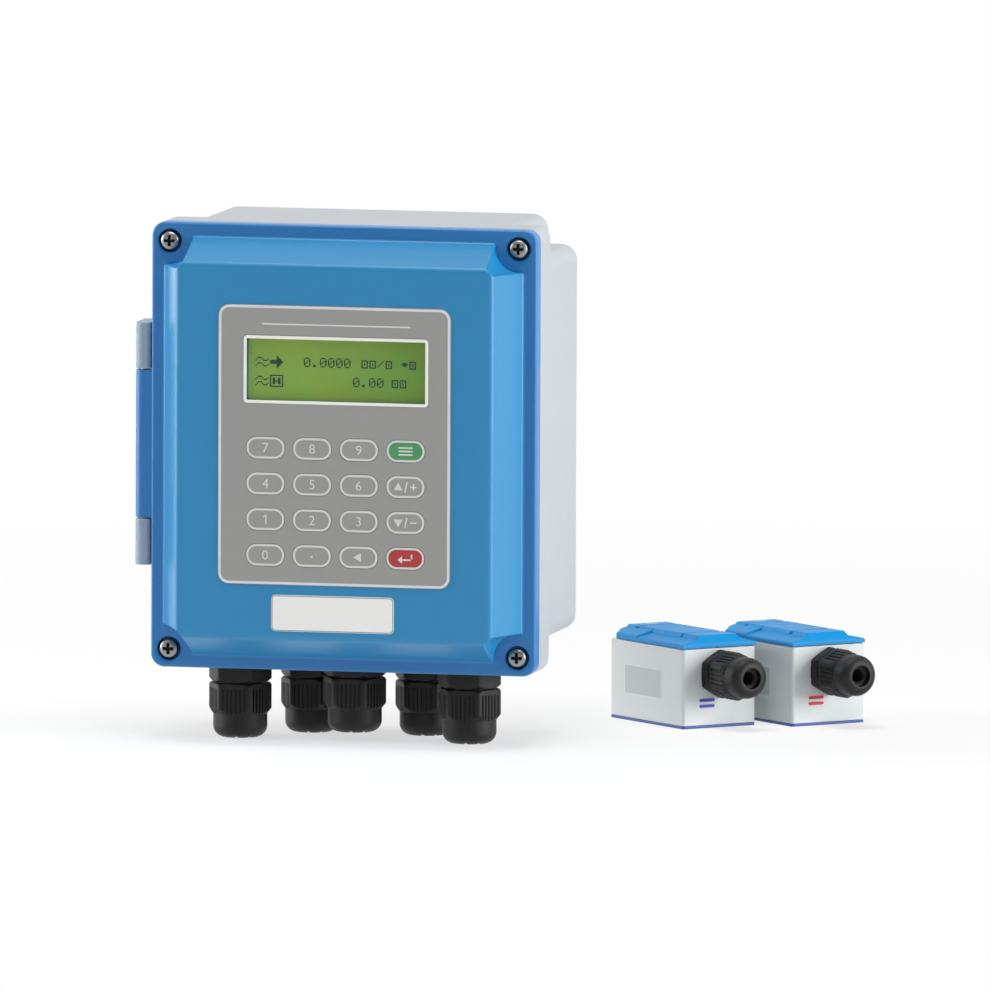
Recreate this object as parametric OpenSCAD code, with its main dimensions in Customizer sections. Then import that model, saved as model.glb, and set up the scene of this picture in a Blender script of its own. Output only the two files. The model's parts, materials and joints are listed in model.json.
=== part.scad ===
// Clamp-on ultrasonic flow meter: a wall-mounted converter and its two transducers.
// Lengths are in millimetres. X runs to the right, Y away from the viewer and Z up.
// The origin is the centre of the four wall bolts, on the rear face of the housing.

/* [Housing] */
// Width of the converter housing
box_w = 173; // [165:1:190]
// Height of the converter housing
box_h = 196; // [190:1:220]
// Depth from the front plane of the cover's rim to the rear face
rim_depth = 82.5; // [78:0.5:95]
// Wall thickness of the base
wall = 4; // [3:0.5:5]
// Radius of the outline's corners
corner_r = 6; // [4:0.5:8]
// Depth from the rim's front plane to the shoulder where the rear corners step in
shoulder_depth = 28; // [26:0.5:34]
// Side of the square step at each rear corner
notch = 13; // [12:0.5:15]
// Radius of the stepped part's convex corners
step_r = 7; // [5.5:0.5:9]

/* [Cover] */
// Thickness of the cover's rim
rim_t = 8; // [7.5:0.5:10]
// Height of the raised panel over the rim
panel_rise = 20; // [16:0.5:24]
// Wall thickness of the cover
cover_wall = 3; // [2.5:0.25:3.5]
// Inset of the bevel's foot from the outline
bevel_foot = 6; // [4:0.5:7]
// Inset of the panel's edge from the outline
bevel_top = 15.7; // [14:0.1:18]
// Radius of the round pocket at each cover screw
pocket_r = 10.3; // [9:0.1:11]
// Gap between cover and base that the gasket closes
seal_gap = 0.4; // [0.3:0.05:0.6]
// Width of the gasket
gasket_w = 1.6; // [1.2:0.1:1.8]
// Depth of the gasket's groove in the base
groove_depth = 1.4; // [1:0.1:2]

/* [Hinge] */
// Distance of the hinge axis from the housing's left side
hinge_out = 4.2; // [4.2:0.1:5]
// Depth of the hinge axis behind the rim's front plane
hinge_depth = 4.5; // [4:0.1:5]
// Radius of the knuckles
knuckle_r = 3.7; // [3:0.1:3.8]
// Length of the cover's knuckle
barrel_len = 65; // [50:1:90]
// Length of each knuckle on the base
lug_len = 20.4; // [15:0.1:26]
// Radius of the hinge pin
pin_r = 1.5; // [1.2:0.1:2]

/* [Cover screws] */
// Inset of each screw from the two nearest sides
screw_inset = 8.2; // [7.5:0.1:9]
// Radius of the screw's shank
screw_r = 2; // [1.5:0.1:2.5]
// Radius of the screw's head
head_r = 4; // [3.2:0.1:4.4]
// Height of the screw's head
head_h = 2.4; // [2:0.1:3]
// Radius of the counterbore for the head
counterbore_r = 5; // [4.6:0.1:5.5]
// Depth of the counterbore for the head
counterbore_depth = 5.5; // [4.5:0.1:6]
// Length of the shank under the head
shank_len = 7; // [6.5:0.1:9]

/* [Keypad and display] */
// Width of the keypad overlay
overlay_w = 104.3; // [100:0.1:112]
// Height of the keypad overlay
overlay_h = 123; // [120:0.5:130]
// Corner radius of the overlay
overlay_r = 5; // [3:0.5:8]
// Thickness of the overlay with its spacer layer
overlay_t = 1.4; // [1.2:0.1:1.8]
// Height by which the overlay stands proud of the panel
overlay_proud = 0.4; // [0.2:0.1:0.6]
// Width of the gap between neighbouring keys of a row
key_gap = 3.75; // [3:0.05:7]
// Height of a key
key_h = 9.7; // [8:0.1:11]
// Width left beside the keys at each side of the overlay
key_margin = 12.125; // [9:0.025:15]
// Distance between the rows of keys
key_pitch_z = 15.7; // [12:0.1:16.5]
// Travel of a key
key_travel = 0.4; // [0.3:0.05:0.45]
// Width of the display window
window_w = 83.3; // [78:0.1:88]
// Height of the display window
window_h = 30.2; // [28:0.1:32]
// Width of the label plate under the keypad
label_w = 55; // [40:1:60]
// Height of the label plate
label_h = 16; // [10:0.5:17]

/* [Cable glands] */
// Width across the flats of the housing's glands
gland_af = 24.8; // [22.5:0.1:26]
// Radius of the thread through the wall
gland_thread_r = 10; // [9:0.1:10.5]
// Height of the gland's fixed hexagon
gland_hex_h = 7.5; // [6:0.1:9]
// Height of the gland nut's hexagon
nut_hex_h = 13.2; // [11:0.1:16]
// Height of the gland nut's domed end
dome_h = 10.8; // [9:0.1:13]
// Gap between the fixed hexagon and the nut
nut_gap = 0.8; // [0.4:0.1:2]
// Radius of the largest cable that the seal lets in
seal_bore_r = 5; // [3:0.1:6]
// Distance of the outer glands' axes from the housing's sides
gland_side = 34.9; // [33:0.1:42]
// How much shorter the fixed hexagon is on the middle gland of the front row
middle_rise = 3.7; // [0:0.1:4]

/* [Transducers] */
// Length of a transducer
sensor_l = 60; // [54:1:70]
// Width of a transducer
sensor_w = 38; // [34:0.5:44]
// Height of a transducer's case with its sole
sensor_h = 35.5; // [32:0.5:42]
// Wall thickness of the case
sensor_wall = 2.2; // [1.8:0.1:3]
// Thickness of the sole
sole_t = 1.3; // [1:0.1:2.5]
// Thickness of the cap at its long edges
cap_edge = 1.8; // [1.2:0.1:2.4]
// Height of the cap's raised middle
cap_rise = 5.4; // [4:0.1:7]
// Width across the flats of the transducer's gland
small_af = 19; // [17:0.5:20]
// Distance of a transducer's middle from the housing's right side
set_side = 36.5; // [34:0.5:60]
// Distance of the first transducer's middle behind the housing's rear face
set_back = 52; // [40:1:80]
// Clear space between the two transducers
set_gap = 9.6; // [6:0.1:20]

/* [Hidden] */

KEY_NAMES = ["key_7", "key_8", "key_9", "key_menu", "key_4", "key_5", "key_6", "key_up",
    "key_1", "key_2", "key_3", "key_down", "key_0", "key_point", "key_left", "key_enter"];
SCREW_NAMES = ["cover_screw_1", "cover_screw_2", "cover_screw_3", "cover_screw_4"];
NUT_NAMES = ["gland_nut_1", "gland_nut_2", "gland_nut_3", "gland_nut_4", "gland_nut_5"];

$fn = 40;
// Steps in a quarter turn of an outline
arc_steps = 8;
// Overrun of every cut past the face that it opens
cut = 1;

// Clearances
pin_clear = 0.05;
lug_clear = 0.02;
seat_clear = 0.05;
screw_clear = 0.2;
tip_clear = 0.5;
film_clear = 0.2;
key_clear = 0.3;
travel_clear = 0.05;
knuckle_gap = 0.5;
thread_clear = 0.15;
nut_clear = 0.05;

// Depths of the planes that the pieces share, along Y
y_rim = -rim_depth;
y_panel = y_rim - panel_rise;
y_cover_back = y_rim + rim_t;
y_base_front = y_cover_back + seal_gap;
y_shoulder = y_rim + shoulder_depth;
y_inside = -wall;

// Hinge axis
hinge_x = -box_w / 2 - hinge_out;
hinge_y = y_rim + hinge_depth;
lug_top = barrel_len / 2 + knuckle_gap + lug_len;
lug_web = 12;

// Gasket and its groove
gasket_inset = (wall - gasket_w) / 2;

// Cover screws: they are captive, and stand backed out of the inserts when at rest
screw_x = box_w / 2 - screw_inset;
screw_z = box_h / 2 - screw_inset;
screw_engaged = counterbore_depth + shank_len - rim_t - seal_gap;
screw_out = screw_engaged + tip_clear;
y_screw_seat = y_rim + counterbore_depth - screw_out;
head_shoulder_share = 0.55;
head_crown_share = 0.75;
recess_w = 0.9;
recess_l = 4.4;
recess_depth = 1.3;
insert_r = 3.2;
insert_len = 7;
insert_well = 1;

// Bevel of the cover, and its wall measured across the housing
bevel_slope = (bevel_top - bevel_foot) / panel_rise;
bevel_wall = cover_wall * sqrt(1 + pow(bevel_slope, 2));
hollow_foot = bevel_foot + bevel_wall;
hollow_top = hollow_foot + bevel_slope * (panel_rise - cover_wall);
hollow_pocket_r = pocket_r + cover_wall;

// Keypad and display, placed from the middle of the panel
overlay_x = 0.55;
overlay_z = 3.1;
print_x = 1.2;
window_z = 36.2;
window_frame = 1.6;
window_t = 1.3;
key_top_z = 1.8;
key_cols = 4;
key_w = (overlay_w - 2 * key_margin - (key_cols - 1) * key_gap) / key_cols;
key_pitch_x = key_w + key_gap;
key_flat = 0.4;
circuit_t = 0.6;
circuit_inset = 1.5;
dome_t = 0.15;
dome_r = 3.2;
key_proud = 0.1;
y_overlay_front = y_panel - overlay_proud;
y_circuit_front = y_overlay_front + overlay_t;
y_recess = y_circuit_front + circuit_t;
y_key_front = y_overlay_front - key_proud;
y_key_back = y_circuit_front - dome_t - travel_clear - key_travel;
tail_w = 14;
tail_t = 0.4;
tail_z = 13;

// Display module behind the panel
y_panel_inside = y_panel + cover_wall;
lcd_rim = 5;
lcd_depth = 5.5;
lcd_lip = 0.6;
lcd_wall = 1;
glass_t = 2.8;
display_w = 112;
display_h = 70;
display_z = 33;
display_r = 2;
board_t = 1.6;
boss_r = 3.5;
boss_inset = 5;
pilot_r = 1.1;
small_head_r = 2.5;
small_head_h = 1.6;
pilot_len = 5;
y_display_back = y_panel_inside + lcd_depth + board_t;

// Label plate
label_z = -70.7;
label_r = 2;
label_t = 0.3;

// Wall bolts: blind threaded holes in bosses on the rear wall
bolt_pitch_x = 108;
bolt_pitch_z = 126;
bolt_hole_r = 2.5;
bolt_hole_depth = 11;
bolt_boss_r = 6;
bolt_boss_end = 2;

// Main board and its pillars
board_w = 90;
board_h = 112;
board_z = 20;
board_r = 2;
pillar_h = 8;
pillar_r = 4;
y_board_back = y_inside - pillar_h;
y_board_front = y_board_back - board_t;

// Terminal blocks
block_count = 3;
block_pitch = 22;
block_w = 20;
block_d = 11;
block_h = 12;
block_ways = 4;
block_rise = 8;
clamp_r = 1.8;
clamp_depth = 1.5;
wire_w = 3.2;
wire_h = 4;
wire_depth = 5;

// Transformer: a stack of plates with a winding through it and two feet
core_w = 38;
core_h = 32;
core_d = 16;
coil_w = 20;
coil_h = 38;
coil_d = 24;
foot_w = 6;
foot_t = 2;
core_x = -20;
core_z = 52;

// Small parts on the main board: width, height, depth, and place as shares of the board
chip_sizes = [[14, 14, 1.6], [10, 20, 3], [10, 20, 3], [16, 20, 15], [16, 20, 15], [26, 6, 9],
    [12, 5, 4], [18, 7, 8]];
chip_place_shares = [[0.12, 0.02], [0.34, 0.02], [-0.34, -0.08], [0.15, 0.32], [0.36, 0.32],
    [-0.12, -0.2], [-0.1, -0.06], [0.22, -0.2]];
can_sizes = [[5, 20], [5, 20], [4, 13], [4, 11]];
can_place_shares = [[-0.42, 0.02], [-0.12, 0.05], [0.42, 0.14], [0.42, -0.07]];

// Glands: a fixed body, a rubber seal, a domed nut and a lock nut inside
gland_rows = [[-1, 0], [0, 0], [1, 0], [-0.5, 1], [0.5, 1]];
gland_pitch = box_w / 2 - gland_side;
front_row_depth = 24;
row_pitch = 28.5;
gland_spigot = 13;
gland_neck_r = 9.2;
gland_bore_r = 6.8;
locknut_h = 4.5;
dome_waist_r = 11.9;
dome_round = 4.6;
mouth_r = 6.8;
mouth_h = 3;
rib_w = 0.9;
rib_depth = 0.5;
rib_pitch = 1.95;
ribs_per_flat = 6;
gland_drop = gland_hex_h + nut_gap + nut_hex_h + dome_h;
z_floor = -box_h / 2 - gland_drop;

// Transducers
sensor_yaw = -45;
sensor_stagger = 14.8;
sensor_r = 1.5;
sensor_gland_z = 23.8;
small_thread_r = 7.6;
small_neck_r = 7.3;
small_bore_r = 4.6;
small_hex_h = 4.5;
small_gap = 1.5;
small_nut_hex_h = 11.5;
small_dome_h = 9;
small_spigot = 8;
small_seal_bore_r = 3;
small_mouth_r = 4.6;
small_mouth_h = 2.5;
small_waist_r = 9.1;
small_round = 4;
small_ribs_per_flat = 4;
cap_slope = 8.2;
cap_slope_top = 3.6;
cap_step = 1.1;
cap_saddle = 0.8;
cap_saddle_l = 21.5;
cap_corner = 5;
cap_nose = 2.6;
groove_places = [9, 45.4];
groove_w = 2.2;
groove_cut = 1.7;
line_places = [14.5, 21.4];
line_w = 0.8;
line_cut = 0.5;
plate_l = 31;
plate_h = 14.2;
plate_x = -3;
plate_z = 18.3;
plate_cut = 0.4;
plate_r = 1.5;
wedge_l = 34;
wedge_w = 22;
wedge_low = 6;
wedge_high = 18;
crystal_r = 7;
crystal_t = 2;

// Points of an arc about a centre, from one angle to another
function arc(cx, cz, r, from, to) =
    [for (i = [0 : arc_steps]) let (a = from + (to - from) * i / arc_steps)
        [cx + r * cos(a), cz + r * sin(a)]];

// Outline of a rectangle with round corners
function round_rect(w, h, r) = concat(
    arc(w / 2 - r, h / 2 - r, r, 0, 90),
    arc(r - w / 2, h / 2 - r, r, 90, 180),
    arc(r - w / 2, r - h / 2, r, 180, 270),
    arc(w / 2 - r, r - h / 2, r, 270, 360));

// Outline of a rectangle whose corners step in by a square, with the convex corners rounded
function stepped_rect(w, h, n, r) = concat(
    arc(w / 2 - r, h / 2 - n - r, r, 0, 90), [[w / 2 - n, h / 2 - n]],
    arc(w / 2 - n - r, h / 2 - r, r, 0, 90),
    arc(n + r - w / 2, h / 2 - r, r, 90, 180), [[n - w / 2, h / 2 - n]],
    arc(r - w / 2, h / 2 - n - r, r, 90, 180),
    arc(r - w / 2, n + r - h / 2, r, 180, 270), [[n - w / 2, n - h / 2]],
    arc(n + r - w / 2, r - h / 2, r, 180, 270),
    arc(w / 2 - n - r, r - h / 2, r, 270, 360), [[w / 2 - n, n - h / 2]],
    arc(w / 2 - r, n + r - h / 2, r, 270, 360));

// Place of a key's middle, counted along the rows from the top left
function key_x(k) = print_x + (k % key_cols - (key_cols - 1) / 2) * key_pitch_x;
function key_z(k) = key_top_z - floor(k / key_cols) * key_pitch_z;

// Place of a gland's axis
function gland_x(g) = gland_rows[g][0] * gland_pitch;
function gland_y(g) = y_rim + front_row_depth + gland_rows[g][1] * row_pitch;
function gland_rise(g) = g == 1 ? middle_rise : 0;

// An outline in X and Z, given thickness along Y
module slab(points, y0, y1, x = 0, z = 0) {
    translate([x, y1, z]) rotate([90, 0, 0]) linear_extrude(y1 - y0) polygon(points);
}

// A round bar along Y
module rod_y(x, z, r, y0, y1) {
    translate([x, y1, z]) rotate([90, 0, 0]) cylinder(h = y1 - y0, r = r);
}

// A round bar along Z
module rod_z(x, y, r, z0, z1) {
    translate([x, y, z0]) cylinder(h = z1 - z0, r = r);
}

// A block given by its two far corners
module block(low, high) {
    translate(low) cube(high - low);
}

// Children at the four corners of a rectangle about a middle
module at_corners(w, h, x = 0, z = 0) {
    for (sx = [-1, 1])
        for (sz = [-1, 1])
            translate([x + sx * w / 2, 0, z + sz * h / 2]) children();
}

// A six-sided bar along Z, given across its flats
module hexagon(af, h) {
    cylinder(h = h, r = af / sqrt(3), $fn = 6);
}

// A frame that follows the housing's outline between two insets
module outline_ring(outer, inner, y0, y1) {
    difference() {
        slab(round_rect(box_w - 2 * outer, box_h - 2 * outer, corner_r - outer), y0, y1);
        slab(round_rect(box_w - 2 * inner, box_h - 2 * inner, corner_r - inner), y0 - cut, y1 + cut);
    }
}

// Base: a front part with the full outline and a deeper part with stepped corners
module base_shell() {
    difference() {
        union() {
            slab(round_rect(box_w, box_h, corner_r), y_base_front, y_shoulder);
            slab(stepped_rect(box_w, box_h, notch, step_r), y_shoulder - wall, 0);
        }
        slab(stepped_rect(box_w - 2 * wall, box_h - 2 * wall, notch, step_r - wall),
            y_base_front - cut, y_inside);
    }
}

// Knuckle of the base, with a web that runs back along the housing's side
module base_lug(z0, z1) {
    rod_z(hinge_x, hinge_y, knuckle_r, z0, z1);
    block([hinge_x - knuckle_r, hinge_y, z0], [hinge_x + knuckle_r, y_base_front + lug_web, z1]);
    block([hinge_x - knuckle_r, y_base_front, z0], [wall / 2 - box_w / 2, y_base_front + lug_web, z1]);
}

module base_housing() {
    color("gainsboro") difference() {
        union() {
            base_shell();
            for (s = [0, 1])
                mirror([0, 0, s]) base_lug(barrel_len / 2 + knuckle_gap, lug_top);
            at_corners(bolt_pitch_x, bolt_pitch_z)
                rod_y(0, 0, bolt_boss_r, -bolt_hole_depth - bolt_boss_end, -wall / 2);
            at_corners(board_w - 2 * boss_inset, board_h - 2 * boss_inset, 0, board_z)
                rod_y(0, 0, pillar_r, y_board_back, -wall / 2);
        }
        rod_z(hinge_x, hinge_y, pin_r + lug_clear, -lug_top - cut, lug_top + cut);
        outline_ring(gasket_inset - seat_clear, gasket_inset + gasket_w + seat_clear,
            y_base_front - cut, y_base_front + groove_depth);
        at_corners(2 * screw_x, 2 * screw_z)
            rod_y(0, 0, insert_r + lug_clear, y_base_front - cut, y_base_front + insert_len + insert_well);
        at_corners(bolt_pitch_x, bolt_pitch_z)
            rod_y(0, 0, bolt_hole_r, -bolt_hole_depth, cut);
        at_corners(board_w - 2 * boss_inset, board_h - 2 * boss_inset, 0, board_z)
            rod_y(0, 0, pilot_r, y_board_back - cut, y_board_back + pilot_len);
        for (g = [0 : len(gland_rows) - 1])
            rod_z(gland_x(g), gland_y(g), gland_thread_r + thread_clear,
                -box_h / 2 - cut, wall + cut - box_h / 2);
    }
}

module cover_gasket() {
    color("dimgray") outline_ring(gasket_inset, gasket_inset + gasket_w,
        y_cover_back + seat_clear, y_base_front + groove_depth);
}

module hinge_pin() {
    color("silver") rod_z(hinge_x, hinge_y, pin_r, -lug_top, lug_top);
}

module screw_inserts() {
    color("goldenrod") at_corners(2 * screw_x, 2 * screw_z) difference() {
        rod_y(0, 0, insert_r, y_base_front, y_base_front + insert_len);
        rod_y(0, 0, screw_r + pin_clear, y_base_front - cut, y_base_front + insert_len + cut);
    }
}

// A block whose sides lean in from one inset to another, with an upright foot behind
module leaning_block(foot, top, y_foot, y_top, y_back) {
    foot_x = box_w / 2 - foot;
    foot_z = box_h / 2 - foot;
    top_x = box_w / 2 - top;
    top_z = box_h / 2 - top;
    intersection() {
        linear_extrude(box_h, center = true)
            polygon([[-foot_x, y_back], [-foot_x, y_foot], [-top_x, y_top],
                [top_x, y_top], [foot_x, y_foot], [foot_x, y_back]]);
        rotate([90, 0, 90]) linear_extrude(box_w, center = true)
            polygon([[y_back, -foot_z], [y_foot, -foot_z], [y_top, -top_z],
                [y_top, top_z], [y_foot, foot_z], [y_back, foot_z]]);
    }
}

// Inside of the cover, which leaves a wall round each screw pocket
module cover_hollow() {
    difference() {
        leaning_block(hollow_foot, hollow_top, y_rim, y_panel_inside, y_cover_back + cut);
        at_corners(2 * screw_x, 2 * screw_z)
            rod_y(0, 0, hollow_pocket_r, y_panel, y_cover_back + 2 * cut);
    }
}

module front_cover() {
    color("steelblue") difference() {
        union() {
            difference() {
                union() {
                    slab(round_rect(box_w, box_h, corner_r), y_rim, y_cover_back);
                    leaning_block(bevel_foot, bevel_top, y_rim, y_panel, y_cover_back - cut);
                }
                cover_hollow();
            }
            rod_z(hinge_x, hinge_y, knuckle_r, -barrel_len / 2, barrel_len / 2);
            block([hinge_x, hinge_y - knuckle_r, -barrel_len / 2],
                [bevel_foot / 2 - box_w / 2, y_cover_back, barrel_len / 2]);
            at_corners(display_w - 2 * boss_inset, display_h - 2 * boss_inset, print_x, display_z)
                rod_y(0, 0, boss_r, y_panel_inside - cover_wall / 2, y_panel_inside + lcd_depth);
        }
        rod_z(hinge_x, hinge_y, pin_r + pin_clear, -lug_top, lug_top);
        at_corners(2 * screw_x, 2 * screw_z) {
            rod_y(0, 0, pocket_r, y_panel - cut, y_rim);
            rod_y(0, 0, counterbore_r, y_rim - cut, y_rim + counterbore_depth);
            rod_y(0, 0, screw_r + screw_clear, y_rim, y_cover_back + cut);
        }
        slab(round_rect(overlay_w + film_clear, overlay_h + film_clear, overlay_r),
            y_panel - cut, y_recess, overlay_x, overlay_z);
        slab(round_rect(window_w - 2 * window_frame, window_h - 2 * window_frame, window_frame),
            y_panel, y_panel_inside + cut, print_x, window_z);
        block([print_x - tail_w / 2 - film_clear, y_panel, tail_z - tail_t],
            [print_x + tail_w / 2 + film_clear, y_panel_inside + cut, tail_z + tail_t]);
        at_corners(display_w - 2 * boss_inset, display_h - 2 * boss_inset, print_x, display_z)
            rod_y(0, 0, pilot_r + lug_clear, y_panel_inside + lcd_depth - pilot_len,
                y_panel_inside + lcd_depth + cut);
    }
}

module keypad_overlay() {
    color("gray") difference() {
        slab(round_rect(overlay_w, overlay_h, overlay_r), y_overlay_front, y_circuit_front,
            overlay_x, overlay_z);
        slab(round_rect(window_w, window_h, window_frame), y_overlay_front - cut,
            y_circuit_front + cut, print_x, window_z);
        for (k = [0 : len(KEY_NAMES) - 1])
            slab(round_rect(key_w + key_clear, key_h + key_clear, (key_h + key_clear - key_flat) / 2),
                y_overlay_front - cut, y_circuit_front + cut, key_x(k), key_z(k));
    }
}

module keypad_circuit() {
    color("darkolivegreen") union() {
        difference() {
            slab(round_rect(overlay_w - 2 * circuit_inset, overlay_h - 2 * circuit_inset, overlay_r),
                y_circuit_front, y_recess, overlay_x, overlay_z);
            slab(round_rect(window_w - 2 * window_frame, window_h - 2 * window_frame, window_frame),
                y_circuit_front - cut, y_recess + cut, print_x, window_z);
        }
        block([print_x - tail_w / 2, y_circuit_front + circuit_t / 2, tail_z - tail_t / 2],
            [print_x + tail_w / 2, y_panel_inside + lcd_depth, tail_z + tail_t / 2]);
    }
}

module key_domes() {
    color("silver") for (k = [0 : len(KEY_NAMES) - 1])
        rod_y(key_x(k), key_z(k), dome_r, y_circuit_front - dome_t, y_circuit_front);
}

module key_cap(k) {
    color(k == 3 ? "seagreen" : k == 15 ? "firebrick" : "dimgray")
        slab(round_rect(key_w, key_h, (key_h - key_flat) / 2), y_key_front, y_key_back,
            key_x(k), key_z(k));
}

module display_window() {
    color("lightgray", 0.5) slab(
        round_rect(window_w - film_clear, window_h - film_clear, window_frame),
        y_circuit_front - window_t, y_circuit_front, print_x, window_z);
}

module lcd_bezel() {
    inner_w = window_w + 2 * (lcd_rim - lcd_wall);
    inner_h = window_h + 2 * (lcd_rim - lcd_wall);
    color("slategray") difference() {
        slab(round_rect(window_w + 2 * lcd_rim, window_h + 2 * lcd_rim, lcd_wall),
            y_panel_inside, y_panel_inside + lcd_depth, print_x, window_z);
        slab(round_rect(inner_w, inner_h, lcd_lip), y_panel_inside + lcd_lip,
            y_panel_inside + lcd_depth + cut, print_x, window_z);
        slab(round_rect(window_w - 2 * window_frame, window_h - 2 * window_frame, lcd_lip),
            y_panel_inside - cut, y_panel_inside + lcd_depth, print_x, window_z);
    }
}

module lcd_glass() {
    color("yellowgreen") slab(
        round_rect(window_w + 2 * (lcd_rim - lcd_wall - seat_clear),
            window_h + 2 * (lcd_rim - lcd_wall - seat_clear), lcd_lip),
        y_panel_inside + lcd_lip, y_panel_inside + lcd_lip + glass_t, print_x, window_z);
}

module display_board() {
    color("darkgreen") difference() {
        union() {
            slab(round_rect(display_w, display_h, display_r), y_panel_inside + lcd_depth,
                y_display_back, print_x, display_z);
            block([print_x - chip_sizes[5][0] / 2, y_display_back - board_t / 2, display_z - chip_sizes[5][1]],
                [print_x + chip_sizes[5][0] / 2, y_display_back + chip_sizes[5][2], display_z]);
        }
        at_corners(display_w - 2 * boss_inset, display_h - 2 * boss_inset, print_x, display_z)
            rod_y(0, 0, pilot_r + screw_clear, y_panel_inside + lcd_depth - cut, y_display_back + cut);
    }
}

// A small pan head screw along Y, with its head towards the sign given
module small_screw(y_seat, side) {
    translate([0, y_seat, 0]) rotate([90 * side, 0, 0]) {
        cylinder(h = small_head_h, r = small_head_r);
        translate([0, 0, -pilot_len]) cylinder(h = pilot_len + small_head_h / 2, r = pilot_r);
    }
}

module display_screws() {
    color("silver") at_corners(display_w - 2 * boss_inset, display_h - 2 * boss_inset, print_x, display_z)
        small_screw(y_display_back, -1);
}

module cover_label() {
    color("whitesmoke") slab(round_rect(label_w, label_h, label_r), y_panel - label_t, y_panel,
        0, label_z);
}

module cover_screw(k) {
    sx = k % 2 == 0 ? -1 : 1;
    sz = k < 2 ? 1 : -1;
    color("silver") translate([sx * screw_x, y_screw_seat, sz * screw_z]) rotate([90, 0, 0])
        difference() {
            union() {
                rotate_extrude() polygon([[0, 0], [head_r, 0], [head_r, head_h * head_shoulder_share],
                    [head_r * head_crown_share, head_h], [0, head_h]]);
                translate([0, 0, -shank_len]) cylinder(h = shank_len + head_h / 2, r = screw_r);
            }
            for (turn = [0, 90])
                rotate([0, 0, turn]) translate([-recess_l / 2, -recess_w / 2, head_h - recess_depth])
                    cube([recess_l, recess_w, recess_depth + cut]);
        }
}

module main_board() {
    color("darkgreen") difference() {
        slab(round_rect(board_w, board_h, board_r), y_board_front, y_board_back, 0, board_z);
        at_corners(board_w - 2 * boss_inset, board_h - 2 * boss_inset, 0, board_z)
            rod_y(0, 0, pilot_r + screw_clear, y_board_front - cut, y_board_back + cut);
    }
}

module board_screws() {
    color("silver") at_corners(board_w - 2 * boss_inset, board_h - 2 * boss_inset, 0, board_z)
        small_screw(y_board_front, 1);
}

module terminal_blocks() {
    z_block = board_z - board_h / 2 + block_rise;
    way = block_w / block_ways;
    color("limegreen") for (b = [0 : block_count - 1])
        translate([(b - (block_count - 1) / 2) * block_pitch, y_board_front, z_block]) difference() {
            block([-block_w / 2, -block_h, -block_d / 2], [block_w / 2, 0, block_d / 2]);
            for (w = [0 : block_ways - 1])
                translate([(w + 1 / 2) * way - block_w / 2, 0, 0]) {
                    rod_y(0, block_d / 6, clamp_r, -block_h - cut, clamp_depth - block_h);
                    block([-wire_w / 2, -wire_depth - wire_h / 2, -block_d / 2 - cut],
                        [wire_w / 2, -wire_depth + wire_h / 2, wire_depth - block_d / 2]);
                }
        }
}

module transformer() {
    color("darkgoldenrod") translate([core_x, y_board_front, core_z]) union() {
        block([-core_w / 2, -(coil_d + core_d) / 2, -core_h / 2],
            [core_w / 2, (core_d - coil_d) / 2, core_h / 2]);
        block([-coil_w / 2, -coil_d, -coil_h / 2], [coil_w / 2, 0, coil_h / 2]);
        for (s = [-1, 1])
            block([s * (core_w - foot_w) / 2 - foot_w / 2, -(coil_d - core_d) / 2 - foot_t, -foot_w / 2],
                [s * (core_w - foot_w) / 2 + foot_w / 2, 0, foot_w / 2]);
    }
}

module board_components() {
    color("black") {
        for (c = [0 : len(chip_sizes) - 1])
            translate([chip_place_shares[c][0] * board_w, y_board_front,
                board_z + chip_place_shares[c][1] * board_h])
                block([-chip_sizes[c][0] / 2, -chip_sizes[c][2], -chip_sizes[c][1] / 2],
                    [chip_sizes[c][0] / 2, 0, chip_sizes[c][1] / 2]);
        for (c = [0 : len(can_sizes) - 1])
            rod_y(can_place_shares[c][0] * board_w, board_z + can_place_shares[c][1] * board_h,
                can_sizes[c][0], y_board_front - can_sizes[c][1], y_board_front);
    }
}

// Fixed body of a gland: the origin is on the wall's outer face and Z points out of it
module gland_body(af, thread_r, spigot, hex_h, neck_r, neck, bore_r) {
    difference() {
        union() {
            hexagon(af, hex_h);
            translate([0, 0, -spigot]) cylinder(h = spigot + hex_h / 2, r = thread_r);
            cylinder(h = hex_h + neck, r = neck_r);
        }
        translate([0, 0, -spigot - cut]) cylinder(h = spigot + hex_h + neck + 2 * cut, r = bore_r);
    }
}

// Domed nut of a gland: the origin is on the nut's inner face and Z points out
module gland_nut(af, hex_h, dome, waist_r, round_r, neck_r, mouth, mouth_len, ribs) {
    difference() {
        union() {
            difference() {
                hexagon(af, hex_h);
                for (flat = [0 : 5])
                    for (rib = [0 : ribs - 1])
                        rotate([0, 0, 30 + 60 * flat])
                            translate([af / 2 - rib_depth,
                                (rib - (ribs - 1) / 2) * rib_pitch - rib_w / 2, hex_h / 6])
                                cube([cut + rib_depth, rib_w, hex_h]);
            }
            rotate_extrude() polygon(concat([[0, hex_h / 2], [waist_r, hex_h / 2]],
                arc(waist_r - round_r, hex_h + dome - round_r, round_r, 0, 90),
                [[0, hex_h + dome]]));
        }
        translate([0, 0, -cut]) cylinder(h = hex_h + dome - mouth_len + cut, r = neck_r + nut_clear);
        cylinder(h = hex_h + dome + cut, r = mouth);
    }
}

// Rubber seal of a gland: a sleeve that the nut squeezes on the cable
module gland_seal(outer_r, bore_r, z0, z1) {
    translate([0, 0, z0]) difference() {
        cylinder(h = z1 - z0, r = outer_r);
        translate([0, 0, -cut]) cylinder(h = z1 - z0 + 2 * cut, r = bore_r);
    }
}

// Children on the axis of a gland in the housing's floor, with Z pointing down
module at_gland(g) {
    translate([gland_x(g), gland_y(g), -box_h / 2]) rotate([180, 0, 0]) children();
}

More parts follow.
